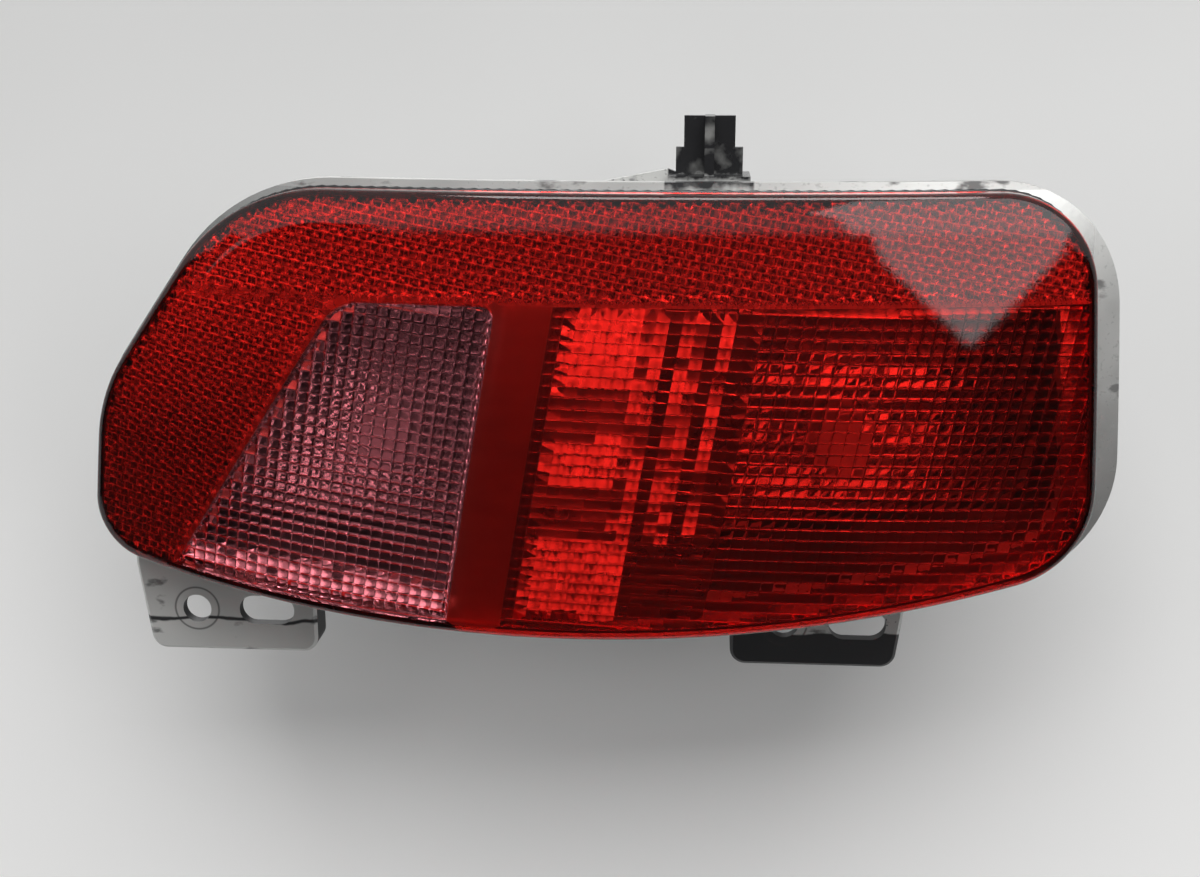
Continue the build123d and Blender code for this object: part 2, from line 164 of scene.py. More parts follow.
class LAMP_PG_reflector(bpy.types.PropertyGroup):
    """Reflectors in the bowls of the housing and shallow sheets on its plate."""

    bowl: length("Bowl", "Bottom of the bowls behind the origin", 0.03)
    focus: length("Focus", "Focal length across the bowls", 0.034)
    swing: length("Swing", "Radius of the bowls along their columns", 0.125)
    rise: length("Rise", "Axis of the bulbs above the lens bottom", 0.039)
    fog_shift: length("Fog shift", "Fog bulb beside the middle", 0.0643)
    reversing_shift: length("Reversing shift", "Reversing bulb beside the middle", -0.0487)
    land: length("Land", "Border of the bowls inside the lens outline", 0.0081)
    side: length("Side", "Border of the bowls inside their windows", 0.0027)
    clearance: length("Clearance", "Reflectors in front of the bowls", 0.0034)
    floor: length("Floor", "Deepest the reflectors go, clear of the bulb holders", 0.0212)
    hole: length("Hole", "Radius of the hole round a bulb", 0.0083)
    sheet: length("Sheet", "Thickness of the sheets", 0.0004)
    border: length("Border", "Border of the shallow sheets inside the lens outline", 0.0034)
    margin: length("Margin", "Border of the shallow sheets inside their windows", 0.0006)
    depth: length("Depth", "Shallow sheets behind the face of the lens", 0.0052)
    strip: length("Strip", "Width of the shallow fog sheet", 0.046)
    ledge: length("Ledge", "Height of the shallow reversing sheet at its middle", 0.0138)
    ledge_slope: share("Ledge slope", "Fall of that sheet's top to the right", 0.1)
    lit_side: share("Lit side", "Slope of lit facets to the side", 0.34)
    lit_up: share("Lit up", "Slope of lit facets upwards", 0.27)
    dark_up: share("Dark up", "Slope of dark facets upwards", -0.06)
    viewpoint: place("Viewpoint", "Where the facets' pattern is seen from", (0.055, -0.366, 0.146))


class LAMP_PG_housing(bpy.types.PropertyGroup):
    """Places on the housing that its finish follows."""

    plate: length("Plate", "Thickness of the front plate", 0.0034)
    screw_spacing: length("Screw spacing", "Between the bracket screw holes", 0.1533)
    ring: length("Ring", "Radius of the pressed ring round a screw hole", 0.0058)
    mask_line: length("Mask line", "Height of the masking line on the brackets", -0.0028)
    mask_wave: length("Mask wave", "How far the masking line wanders", 0.0011)
    mask_width: length("Mask width", "Half the width of the line on the left bracket", 0.0007)
    peg_shift: length("Peg shift", "Peg beside the middle of the lens", 0.0306)
    peg_half: length("Peg half", "Half the width of the peg's foot", 0.0101)
    shelf_drop: length("Shelf drop", "Shelf under the peg below the lens top", 0.0014)
    bead: length("Bead", "How far the weld bead stands out", 0.00035)
    ribs: length("Ribs", "Distance between ribs of the weld bead", 0.003)


class LAMP_PG_stage(bpy.types.PropertyGroup):
    """Camera, table and card of the stage."""

    eye: place("Eye", "Place of the camera", (0.05498, -0.36553, 0.14632))
    target: place("Target", "Point that the camera looks at", (0.03207, -0.03792, 0.05833))
    focal: share("Focal length", "Lens of the camera in millimetres", 45.54)
    sensor: share("Sensor", "Width of the camera's sensor in millimetres", 36.0)
    table_gap: length("Table gap", "Table behind the lamp", 0.0005)
    table_half: length("Table half", "Half the width of the table", 2.5)
    card_distance: length("Card distance", "Card in front of the origin", 1.15)
    card_left: length("Card left", "Left side of the card", -3.2)
    card_right: length("Card right", "Right side of the card", 2.4)
    card_top: length("Card top", "Top of the card", 0.22)
    card_bottom: length("Card bottom", "Bottom of the card", -1.5)
    room: share("Room", "Strength of the surroundings as light", 0.3)
    seen_room: share("Seen room", "Strength of the surroundings where they are seen", 0.85)


class LAMP_PG_colours(bpy.types.PropertyGroup):
    """Colours of the mouldings."""

    red: colour("Red", "Red acrylic, through and back", (0.92, 0.018, 0.012))
    pink: colour("Pink", "Pale acrylic of the reversing window", (0.93, 0.25, 0.3))
    silver: colour("Silver", "Metallised face of the housing", (0.54, 0.54, 0.525))
    black: colour("Black", "Black moulding", (0.012, 0.012, 0.013))


# Shapes in the plane of the lens, as points (x, z)


def lens():
    """Sizes of the lens."""
    return bpy.context.scene.lamp_lens


def optics():
    """Settings of the optics."""
    return bpy.context.scene.lamp_optics


def reflector():
    """Settings of the reflectors."""
    return bpy.context.scene.lamp_reflector


def housing():
    """Places on the housing."""
    return bpy.context.scene.lamp_housing


def stage():
    """Settings of the stage."""
    return bpy.context.scene.lamp_stage


def colours():
    """Colours of the mouldings."""
    return bpy.context.scene.lamp_colours


def reflex_line():
    """Height of the line under the reflex band."""
    return lens().rise + lens().height - optics().reflex_band


def fog_left():
    """Where the fog window's left side crosses the reflex line."""
    return lens().shift + optics().divider_shift + optics().divider


def reversing_right():
    """Where the reversing window's right side crosses the reflex line."""
    return lens().shift + optics().divider_shift


def slanted_side():
    """A point and the inward normal of the reversing window's slanted left side."""
    o = optics()
    slant = np.array([np.cos(o.reversing_slant), -np.sin(o.reversing_slant)])
    return np.array([reversing_right() - o.reversing_width, reflex_line()]), slant


def unit(angles):
    """Unit vectors at angles from the X axis."""
    return np.stack([np.cos(angles), np.sin(angles)], -1)


def rounding(first, second, radius):
    """Centre of an arc that touches two straight sides, each a point and the angle it faces."""
    normals = unit(np.array([first[1], second[1]]))
    reach = (normals * np.array([first[0], second[0]])).sum(1) - radius
    return np.linalg.solve(normals, reach)


def low_rounding(side, low, low_radius, radius):
    """Centre of an arc that touches a straight side and, from inside, the round bottom edge."""
    normal = unit(np.array(side[1]))
    down = np.array([normal[1], -normal[0]]) * np.sign(normal[0])
    start = side[0] - radius * normal - low
    along = start @ down
    return low + start + (sqrt(along**2 - start @ start + (low_radius - radius) ** 2) - along) * down


def outline_arcs():
    """The six arcs of the outline, clockwise: centre, radius, first and last angle."""
    s = lens()
    half = s.width / 2
    low = np.array([s.shift + s.bottom_shift, s.rise + s.bottom_radius])

    def corner(x):
        return np.array([x, low[1] - sqrt(s.bottom_radius**2 - (x - low[0]) ** 2)])

    left = (corner(s.shift - half), pi - s.left_lean)
    right = (corner(s.shift + half), s.right_lean)
    top = (np.array([0.0, s.rise + s.height]), pi / 2)
    hip_z = s.rise + s.hip_rise
    hip_x = left[0][0] + (hip_z - left[0][1]) * tan(s.left_lean)
    slant = (np.array([hip_x, hip_z]), pi - s.shoulder_slant)
    bottom_right = low_rounding(right, low, s.bottom_radius, s.bottom_right)
    bottom_left = low_rounding(left, low, s.bottom_radius, s.bottom_left)

    def heading(to):
        return np.arctan2(*(to - low)[::-1])

    turns = [top[1], right[1], heading(bottom_right), heading(bottom_left), left[1], slant[1], top[1]]
    turns = np.unwrap(turns)
    arcs = (
        (rounding(top, right, s.top_right), s.top_right),
        (bottom_right, s.bottom_right),
        (low, s.bottom_radius),
        (bottom_left, s.bottom_left),
        (rounding(left, slant, s.hip), s.hip),
        (rounding(slant, top, s.shoulder), s.shoulder),
    )
    return [(centre, radius, turns[i], turns[i + 1]) for i, (centre, radius) in enumerate(arcs)]


def outline(inset=0.0):
    """Stations along the outline, clockwise, moved in along their normals.

    A station on an arc is its centre plus its radius times the unit vector at its angle; straight
    sides join the arcs.
    """
    step = lens().step
    arcs = outline_arcs()
    points, normals = [], []
    for index, (centre, radius, first, last) in enumerate(arcs):
        count = ceil(radius * abs(last - first) / step)
        normal = unit(np.linspace(first, last, count, endpoint=False))
        points.append(centre + radius * normal)
        normals.append(normal)
        following = arcs[(index + 1) % len(arcs)]
        normal = unit(np.array(last))
        start = centre + radius * normal
        stop = following[0] + following[1] * unit(np.array(following[2]))
        run = np.hypot(*(stop - start))
        if run > step / 10:
            count = ceil(run / step)
            points.append(np.linspace(start, stop, count, endpoint=False))
            normals.append(np.repeat(normal[None], count, 0))
    return np.concatenate(points) - inset * np.concatenate(normals)


def clip(loop, point, inward):
    """The part of a closed loop on the inner side of a line, with new points where it crosses."""
    ahead = np.roll(loop, -1, 0)
    here = (loop - point) @ np.asarray(inward)
    there = np.roll(here, -1)
    crosses = (here >= 0) != (there >= 0)
    part = np.where(crosses, here / np.where(crosses, here - there, 1.0), 0.0)
    both = np.stack([loop, loop + part[:, None] * (ahead - loop)], 1)
    keep = np.stack([here >= 0, crosses], 1)
    return both[keep]


def round_corner(loop, near, radius, count=8):
    """The loop with its corner nearest to a point replaced by an arc that both sides touch."""
    index = np.argmin(np.hypot(*(loop - near).T))
    loop = np.roll(loop, -index, 0)
    before = loop[-1] - loop[0]
    after = loop[1] - loop[0]
    before = before / np.hypot(*before)
    after = after / np.hypot(*after)
    half = np.arccos(np.clip(before @ after, -1, 1)) / 2
    middle = before + after
    centre = loop[0] + middle / np.hypot(*middle) * radius / np.sin(half)
    start = loop[0] + before * radius / np.tan(half) - centre
    stop = loop[0] + after * radius / np.tan(half) - centre
    first = np.arctan2(start[1], start[0])
    turn = np.arctan2(start[0] * stop[1] - start[1] * stop[0], start @ stop)
    arc = centre + radius * unit(first + np.linspace(0, turn, count))
    return np.concatenate([arc, loop[1:]])


def divide(loop, step):
    """The closed loop with each side cut into equal pieces no longer than step."""
    run = np.roll(loop, -1, 0) - loop
    count = np.maximum(np.ceil(np.hypot(*run.T) / step).astype(int), 1)
    side = np.repeat(np.arange(len(loop)), count)
    part = (np.arange(count.sum()) - np.repeat(np.cumsum(count) - count, count)) / count[side]
    return loop[side] + part[:, None] * run[side]


def leaning_side(x, keep_right):
    """A point and an inward normal of the leaning line that crosses the reflex line at x."""
    lean = optics().lean
    normal = np.array([np.cos(lean), -np.sin(lean)])
    return np.array([x, reflex_line()]), normal if keep_right else -normal


def reversing_loop(inset, frame_width):
    """Border of the reversing window: the outline moved in, cut by the slanted left side, the
    reflex line and the leaning right side, with its top corners rounded."""
    line, radius = reflex_line(), optics().reversing_round
    corner, slant = slanted_side()
    loop = clip(outline(frame_width + inset), corner + inset * slant, slant)
    loop = clip(loop, np.array([0.0, line - inset]), (0.0, -1.0))
    side, normal = leaning_side(reversing_right(), False)
    loop = clip(loop, side + inset * normal, normal)
    loop = round_corner(loop, corner, radius)
    loop = round_corner(loop, side, radius / 4)
    return divide(loop, 2 * lens().step)


def fog_loop(inset, frame_width):
    """Border of the fog window: the outline moved in, cut by the leaning left side and the
    reflex line."""
    side, normal = leaning_side(fog_left(), True)
    loop = clip(outline(frame_width + inset), side + inset * normal, normal)
    loop = clip(loop, np.array([0.0, reflex_line() - inset]), (0.0, -1.0))
    return divide(loop, 2 * lens().step)


def inside(points, loop):
    """Which points lie inside a closed loop: those with an odd number of its sides to their right."""
    held = np.zeros(len(points), bool)
    x0, z0 = loop.T
    x1, z1 = np.roll(loop, -1, 0).T
    slope = (x1 - x0) / np.where(z1 == z0, 1e-12, z1 - z0)
    for part in np.array_split(np.arange(len(points)), max(1, len(points) // 20000)):
        x, z = points[part].T[:, :, None]
        spans = (z0 > z) != (z1 > z)
        held[part] = (spans & (x < x0 + (z - z0) * slope)).sum(1) % 2 == 1
    return held


def grid(loop, step):
    """Points of a square grid inside a loop."""
    low, high = loop.min(0), loop.max(0)
    x, z = np.meshgrid(np.arange(low[0], high[0], step), np.arange(low[1], high[1], step))
    points = np.stack([x.ravel(), z.ravel()], -1)
    return points[inside(points, loop)]


# Surfaces


def face_y(points, depth):
    """Y of a ball cap that lies a depth behind the face of the lens."""
    s = lens()
    centre = np.array([s.shift + s.face_shift, s.rise + s.height / 2 + s.face_rise])
    across = ((points - centre) ** 2).sum(-1)
    return s.face_radius - s.face_depth - np.sqrt((s.face_radius - depth) ** 2 - across)


def pin_axes():
    """Unit vectors along and across the rows of reflex pins."""
    return unit(np.array([-optics().lean, pi / 2 - optics().lean]))


def pins(points):
    """Height of the reflex pins, a field of cube corners on a hexagonal lattice.

    Each hexagon's three faces rise from its middle: the height falls by twice the share of the
    way to the farthest of three corners, so neighbouring hexagons meet without a step.
    """
    s = optics()
    side = s.pin_side
    local = points @ pin_axes().T
    pitch = np.array([1.5 * side, sqrt(3) * side])
    offsets = []
    for shift in (0.0, 0.5):
        column = 2 * np.round(local[:, 0] / (2 * pitch[0]) - shift) + 2 * shift
        row = np.round(local[:, 1] / pitch[1] - shift) + shift
        offsets.append(local - np.stack([column, row], -1) * pitch)
    nearer = (offsets[0] ** 2).sum(1) <= (offsets[1] ** 2).sum(1)
    away = np.where(nearer[:, None], *offsets)
    corners = unit(radians(60) + np.arange(3) * radians(120))
    level = (away @ corners.T).max(1) * 2 / side
    return s.pin_depth * side / sqrt(2) * (2 - level)


def pin_points(loop):
    """Middles and corners of the hexagons inside a loop, a lattice of triangles."""
    side = optics().pin_side
    axes = pin_axes()
    corners = loop @ axes.T
    pitch = np.array([1.5 * side, sqrt(3) * side])
    low = np.floor(corners.min(0) / pitch).astype(int) - 1
    high = np.ceil(corners.max(0) / pitch).astype(int) + 2
    i, j = np.meshgrid(np.arange(low[0], high[0]), np.arange(low[1], high[1]))
    centres = np.stack([i, j + (i % 2) / 2], -1).reshape(-1, 2) * pitch
    # Each hexagon brings its middle and the two corners on its left
    own = np.array([[0.0, 0.0], [-side, 0.0], [-side / 2, sqrt(3) / 2 * side]])
    points = (centres[:, None] + own).reshape(-1, 2) @ axes
    return points[inside(points, loop)]


def fog_lattice():
    """Size of a fog pillow and the slope of its rows."""
    o = optics()
    return np.array([o.fog_pillow, o.fog_row]), o.fog_slope


def reversing_lattice():
    """Size of a reversing pillow and the slope of its rows."""
    o = optics()
    return np.array([o.reversing_pillow, o.reversing_row]), o.reversing_rows


def pillow_axes(slope):
    """Matrix from (x, z) to distances across leaning columns and along sloping rows."""
    return np.array([[1.0, -tan(optics().lean)], [tan(slope), 1.0]])


def pillows(points, lattice, bulge, power):
    """Height of pillow optics: one curve across each column plus one across each row, which fall
    from the middle by a power of the way to the side."""
    size, slope = lattice
    part = (points @ pillow_axes(slope).T / size) % 1.0
    return bulge * (2 - (np.abs(2 * part - 1) ** power).sum(1))


def pillow_points(loop, lattice, cuts):
    """Lattice points of the pillows inside a loop, with each pillow cut at the same shares."""
    size, slope = lattice
    axes = pillow_axes(slope)
    corners = loop @ axes.T
    low = np.floor(corners.min(0) / size)
    high = np.ceil(corners.max(0) / size)
    u, v = [(np.arange(a, b)[:, None] + np.array(cuts)).ravel() for a, b in zip(low, high)]
    u, v = np.meshgrid(u, v)
    points = np.stack([u.ravel(), v.ravel()], -1) * size @ np.linalg.inv(axes).T
    return points[inside(points, loop)]


def triangles(loops, points):
    """Delaunay triangles of closed loops and of points inside them, kept inside the loops."""
    corners = np.concatenate([*loops, points])
    sides, start = [], 0
    for loop in loops:
        index = np.arange(start, start + len(loop))
        sides.append(np.stack([index, np.roll(index, -1)], 1))
        start += len(loop)
    found = delaunay_2d_cdt(corners.tolist(), np.concatenate(sides).tolist(), [], 0, 1e-8, False)
    if len(found[0]) != len(corners):
        raise RuntimeError(f"the lattice has {len(corners)} points but {len(found[0])} came back")
    faces = np.array(found[2])
    border = (faces < start).all(1)
    centre = corners[faces[border]].mean(1)
    keep = np.ones(len(faces), bool)
    keep[border] = sum(inside(centre, loop).astype(int) for loop in loops) % 2 == 1
    return corners, faces[keep]


class Shell:
    """Gathers the sheets of one closed piece and turns them into a mesh."""

    def __init__(self):
        self.points, self.faces, self.slots, self.count = [], [], [], 0

    def add(self, points, faces, slot=0):
        """Adds points and triangles, and returns the number of the first point."""
        first = self.count
        self.points.append(points)
        self.count += len(points)
        self.join(faces + first, slot)
        return first

    def row(self, points):
        """Adds points alone, and returns their numbers."""
        first = self.add(points, np.zeros((0, 3), int))
        return first + np.arange(len(points))

    def join(self, faces, slot=0):
        """Adds triangles between points that are there."""
        self.faces.append(faces)
        self.slots.append(np.full(len(faces), slot))

    def strip(self, first, second, slot=0):
        """Joins two closed rows of points, clockwise seen from the first one's side."""
        a, b = np.asarray(first), np.asarray(second)
        c, d = np.roll(b, -1), np.roll(a, -1)
        self.join(np.concatenate([np.stack([a, d, c], 1), np.stack([a, c, b], 1)]), slot)

    def mesh(self, name, materials, sharp):
        """Makes the object, with edges sharper than an angle kept as creases."""
        points = np.concatenate(self.points).astype(np.float32)
        faces = np.concatenate(self.faces).astype(np.int32)
        slots = np.concatenate(self.slots).astype(np.int32)
        used, index = np.unique(faces, return_inverse=True)
        points, faces = points[used], index.reshape(-1, 3).astype(np.int32)
        mesh = bpy.data.meshes.new(name)
        mesh.vertices.add(len(points))
        mesh.vertices.foreach_set("co", points.ravel())
        mesh.loops.add(faces.size)
        mesh.loops.foreach_set("vertex_index", faces.ravel())
        mesh.polygons.add(len(faces))
        mesh.polygons.foreach_set("loop_start", np.arange(0, faces.size, 3, dtype=np.int32))
        mesh.polygons.foreach_set("material_index", slots)
        mesh.polygons.foreach_set("use_smooth", np.ones(len(faces), bool))
        mesh.update(calc_edges=True)
        mesh.validate()
        mesh.set_sharp_from_angle(angle=sharp)
        for material in materials:
            mesh.materials.append(material)
        made = bpy.data.objects.new(name, mesh)
        bpy.context.scene.collection.objects.link(made)
        return made


def raised(points, y):
    """Points (x, z) with their y put between."""
    return np.stack([points[:, 0], np.broadcast_to(y, len(points)), points[:, 1]], -1)


# Finishes


class Finish:
    """A node material in the making, whose patterns read the piece's own coordinates."""

    def __init__(self, name):
        self.material = bpy.data.materials.new(name)
        self.material.use_nodes = True
        self.nodes = self.material.node_tree.nodes
        self.links = self.material.node_tree.links
        self.shader = self.nodes["Principled BSDF"]
        self.place = self.node("ShaderNodeTexCoord").outputs["Object"]

    def node(self, kind, inputs=None, **settings):
        """Adds a node; inputs by name or number are values or outputs of other nodes."""
        made = self.nodes.new(kind)
        for key, value in settings.items():
            setattr(made, key, value)
        for key, value in (inputs or {}).items():
            if isinstance(value, bpy.types.NodeSocket):
                self.links.new(value, made.inputs[key])
            else:
                made.inputs[key].default_value = value
        return made

    def noise(self, scale, detail=3.0, stretch=(1.0, 1.0, 1.0)):
        """Noise from 0 to 1 with so many features in a metre."""
        place = self.node("ShaderNodeMapping", {"Vector": self.place, "Scale": stretch}).outputs[0]
        return self.node(
            "ShaderNodeTexNoise", {"Vector": place, "Scale": scale, "Detail": detail}
        ).outputs["Fac"]

    def math(self, operation, a, b=0.0):
        """One sum of two values."""
        return self.node("ShaderNodeMath", {0: a, 1: b}, operation=operation).outputs[0]

    def times(self, *values):
        """The product of values."""
        product = values[0]
        for value in values[1:]:
            product = self.math("MULTIPLY", product, value)
        return product

    def lacking(self, value):
        """What a share lacks of one."""
        return self.math("SUBTRACT", 1.0, value)

    def parts(self, vector):
        """The three parts of a vector."""
        return self.node("ShaderNodeSeparateXYZ", {0: vector}).outputs

    def vector(self, operation, first, second):
        """One number from two vectors."""
        return self.node("ShaderNodeVectorMath", {0: first, 1: second}, operation=operation).outputs["Value"]

    def ramp(self, value, low, high, start=0.0, stop=1.0):
        """A value taken from one range to another, and held inside it."""
        inputs = {"Value": value, "From Min": low, "From Max": high, "To Min": start, "To Max": stop}
        return self.node("ShaderNodeMapRange", inputs).outputs[0]

    def blend(self, share_of, first, second):
        """Two colours mixed by a share."""
        inputs = {0: share_of, 6: first, 7: second}
        return self.node("ShaderNodeMix", inputs, data_type="RGBA").outputs[2]

    def bump(self, height, distance, strength=1.0):
        """A normal bent by a height."""
        inputs = {"Height": height, "Distance": distance, "Strength": strength}
        return self.node("ShaderNodeBump", inputs).outputs[0]

    def set(self, **values):
        """Sets the shader's sockets by name, with _ for a space."""
        for key, value in values.items():
            socket = self.shader.inputs[key.replace("_", " ")]
            if isinstance(value, bpy.types.NodeSocket):
                self.links.new(value, socket)
            else:
                socket.default_value = value
        return self.material


def solid(values):
    """A colour with full cover."""
    return (*values, 1.0)


def acrylic(name, tint, rough=0.0):
    """Polished acrylic with faint wiping marks; its colour is taken on one pass through a face."""
    f = Finish(name)
    marks = f.noise(90.0, 4.0, (1.0, 1.0, 3.0))
    grain = f.noise(2600.0, 2.0)
    shade = [0.94 * c for c in tint]
    f.set(
        Base_Color=f.blend(f.ramp(marks, 0.35, 0.65), solid(shade), solid(tint)),
        Roughness=f.ramp(marks, 0.4, 0.8, 0.015 + rough, 0.05 + rough),
        Normal=f.bump(grain, 0.000004),
    )
    return f.set(IOR=1.49, Transmission_Weight=1.0)


def metal_coat(name, tint, rough):
    """Aluminium on a reflector, a little hazy."""
    f = Finish(name)
    haze = f.noise(140.0, 3.0)
    f.set(
        Base_Color=f.blend(haze, solid([0.88 * v for v in tint]), solid(tint)),
        Roughness=f.ramp(haze, 0.3, 0.7, rough, 1.5 * rough),
    )
    return f.set(Metallic=1.0)


def pin_coat(name, tint):
    """Bright backs of the reflex pins, with a painted reflection: painted shade in the cells, painted
    highlights along their borders, and darker towards the bottom."""
    side, scale = optics().pin_side, 500.0
    f = Finish(name)
    along, across = [f.vector("DOT_PRODUCT", f.place, (way[0], 0.0, way[1])) for way in pin_axes()]
    cells = {
        "Vector": f.node("ShaderNodeCombineXYZ", {0: along, 1: across}).outputs[0],
        "Scale": scale,
        "Mortar Size": 0.12,
        "Mortar Smooth": 0.4,
        "Brick Width": scale * sqrt(3) * side,
        "Row Height": scale * 1.5 * side,
    }
    border = f.node("ShaderNodeTexBrick", cells).outputs["Fac"]
    high = f.parts(f.place)[2]
    # Painted reflection: dark cells and light borders stand in for the light that the pins return, and the
    # colour is darker towards the bottom
    level = f.times(f.ramp(border, 0.0, 1.0, 0.62, 1.0), f.ramp(high, 0.05, 0.09, 0.6, 1.0))
    f.set(
        Base_Color=f.blend(level, solid((0.0, 0.0, 0.0)), solid(tint)),
        Roughness=f.ramp(border, 0.0, 1.0, 0.14, 0.3),
    )
    return f.set(Metallic=1.0)


def moulding(name, tint, grain=1800.0, depth=0.00003, rough=(0.38, 0.6), nose=None):
    """Moulded plastic or rubber with a fine grain and worn, slightly paler patches, and with a
    pale nose in front where one is given."""
    f = Finish(name)
    fine = f.noise(grain, 3.0)
    wear = f.noise(70.0, 5.0)
    pale = [min(1.0, 2.4 * c + 0.01) for c in tint]
    base = f.blend(f.ramp(wear, 0.5, 0.85), solid(tint), solid(pale))
    if nose:
        nose_back, nose_front = 0.0312, 0.0308
        base = f.blend(f.ramp(f.parts(f.place)[1], nose_back, nose_front), base, solid(nose))
    return f.set(
        Base_Color=base,
        Roughness=f.ramp(wear, 0.3, 0.7, *rough),
        Normal=f.bump(fine, depth, 0.6),
    )


def housing_coat():
    """Black moulding under a thin aluminium coat.

    The coat lies on the plate that carries the lens and on what faces the front, and stops at a
    masking line on the brackets. The peg is bare. Scuffs and specks show the black through it.
    """
    c, s, h = colours(), lens(), housing()
    f = Finish("housing_metallised")
    x, y, z = f.parts(f.place)
    fade = 0.0004
    front = f.ramp(f.parts(f.node("ShaderNodeNewGeometry").outputs["True Normal"])[1], -0.5, -0.7)
    bracket = f.ramp(y, -0.004, -0.003)
    # Front plate, by the distance from the middle of the ball that the face is a cap of
    middle = (s.shift + s.face_shift, s.face_radius - s.face_depth, s.rise + s.height / 2 + s.face_rise)
    reach = f.vector("DISTANCE", f.place, middle)
    plate_front = s.face_radius - s.skirt
    plate_back = plate_front - h.plate
    plate = f.ramp(reach, plate_back - 0.0005, plate_back)
    # Brackets: a wavy masking line, bare below it on the right and thin on the left
    wave = f.ramp(f.noise(45.0, 4.0), 0.3, 0.7, -h.mask_wave, h.mask_wave)
    below = f.math("SUBTRACT", f.math("ADD", z, wave), h.mask_line)
    right = f.ramp(x, 0.0, 0.001)
    bare_low = f.times(right, f.ramp(below, fade, -fade))
    thin = f.times(f.ramp(f.math("ABSOLUTE", below), h.mask_width, 0.0003), bracket)
    # A pressed ring round each screw hole
    flat = f.node("ShaderNodeCombineXYZ", {0: x, 2: z}).outputs[0]
    rings = []
    for side in (-0.5, 0.5):
        away = f.vector("DISTANCE", flat, (side * h.screw_spacing, 0.0, 0.0))
        rings.append(f.ramp(f.math("ABSOLUTE", f.math("SUBTRACT", away, h.ring)), fade, 0.0001))
    ring = f.times(f.math("MAXIMUM", *rings), bracket)
    # Peg: bare above its shelf, with overspray at the foot; the wing beside it is coated
    beside = f.math("ABSOLUTE", f.math("SUBTRACT", x, s.shift + h.peg_shift))
    on_peg = f.ramp(beside, h.peg_half, h.peg_half - fade)
    shelf = s.rise + s.height - h.shelf_drop
    spray = f.math("ADD", z, f.ramp(f.noise(260.0, 4.0), 0.3, 0.7, -0.0012, 0.0012))
    peg = f.times(on_peg, f.ramp(spray, shelf + 0.0008, shelf + 0.0028))
    wing = f.times(f.ramp(z, shelf - 0.004, shelf - 0.003), f.lacking(on_peg))
    # Brighter behind the lens, satin elsewhere
    haze = f.noise(45.0, 5.0)
    top, edge = s.rise + s.height, s.shift + s.width / 2 - 0.0035
    under = f.times(
        f.ramp(reach, plate_front - 0.0006, plate_front - 0.0002),
        front,
        f.ramp(z, top + fade / 2, top - fade / 2),
        f.ramp(x, edge, edge - 0.001),
    )
    # Specks and scuffs
    specks = f.times(f.ramp(f.noise(900.0, 2.0), 0.62, 0.7), f.ramp(bracket, 0.0, 1.0, 0.25, 0.8), right)
    scuffs = f.ramp(f.noise(170.0, 6.0, (0.5, 1.0, 1.0)), 0.6, 0.66)
    worn = f.times(f.math("MAXIMUM", f.times(scuffs, 0.75), specks), f.lacking(under))
    coated = f.math("MAXIMUM", f.math("MAXIMUM", front, plate), wing)
    coated = f.times(coated, *[f.lacking(bare) for bare in (bare_low, thin, peg, worn)])
    # Colours and gloss
    silver = f.blend(haze, solid([0.78 * v for v in c.silver]), solid(c.silver))
    silver = f.blend(f.times(ring, 0.65), silver, solid(c.black))
    dust = f.times(peg, f.ramp(f.noise(150.0, 6.0), 0.5, 0.72))
    black = f.blend(dust, solid(c.black), solid((0.16, 0.16, 0.155)))
    satin = f.times(f.lacking(under), f.ramp(haze, 0.3, 0.7, 0.3, 0.42))
    coat_rough = f.times(f.math("ADD", f.times(under, 0.26), satin), coated)
    bare_rough = f.times(f.ramp(peg, 0.0, 1.0, 0.5, 0.22), f.lacking(coated))
    metal = f.math("MAXIMUM", under, f.ramp(bracket, 0.0, 1.0, 0.8, 0.3))
    grain = f.math("ADD", f.noise(700.0, 3.0), f.times(ring, -4.0))
    return f.set(
        Base_Color=f.blend(coated, black, silver),
        Metallic=f.times(coated, metal),
        Roughness=f.math("ADD", bare_rough, coat_rough),
        Normal=f.bump(grain, 0.00002, 0.5),
    )


def bulb_glass():
    """Glass with a whitish film."""
    f = Finish("bulb_glass")
    film = f.noise(300.0, 3.0)
    f.set(
        Base_Color=f.blend(film, solid((0.93, 0.94, 0.94)), solid((0.99, 0.99, 0.99))),
        Roughness=f.ramp(film, 0.3, 0.8, 0.01, 0.06),
    )
    return f.set(IOR=1.47, Transmission_Weight=0.45)


def tinned_metal():
    """Tinned brass, dull in patches."""
    f = Finish("tinned_contact")
    dull = f.noise(800.0, 4.0)
    f.set(
        Base_Color=f.blend(dull, solid((0.5, 0.46, 0.36)), solid((0.78, 0.73, 0.6))),
        Roughness=f.ramp(dull, 0.3, 0.7, 0.22, 0.45),
    )
    return f.set(Metallic=1.0)


# Pieces

# Lens: edges sharper than this stay creases, grid of its face and how far the grid keeps off a
# border, fog pillows inside their window
LENS_CREASE = radians(28)
FACE_GRID = 0.003
FACE_KEEP = 0.002
FOG_EDGE = 0.0001


def offer(piece, slot, *nodes):
    """Puts a new piece on the lamp's body and hides the parts that it stands for; the slot is not used."""
    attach(piece, "root")
    if nodes:
        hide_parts(*nodes)


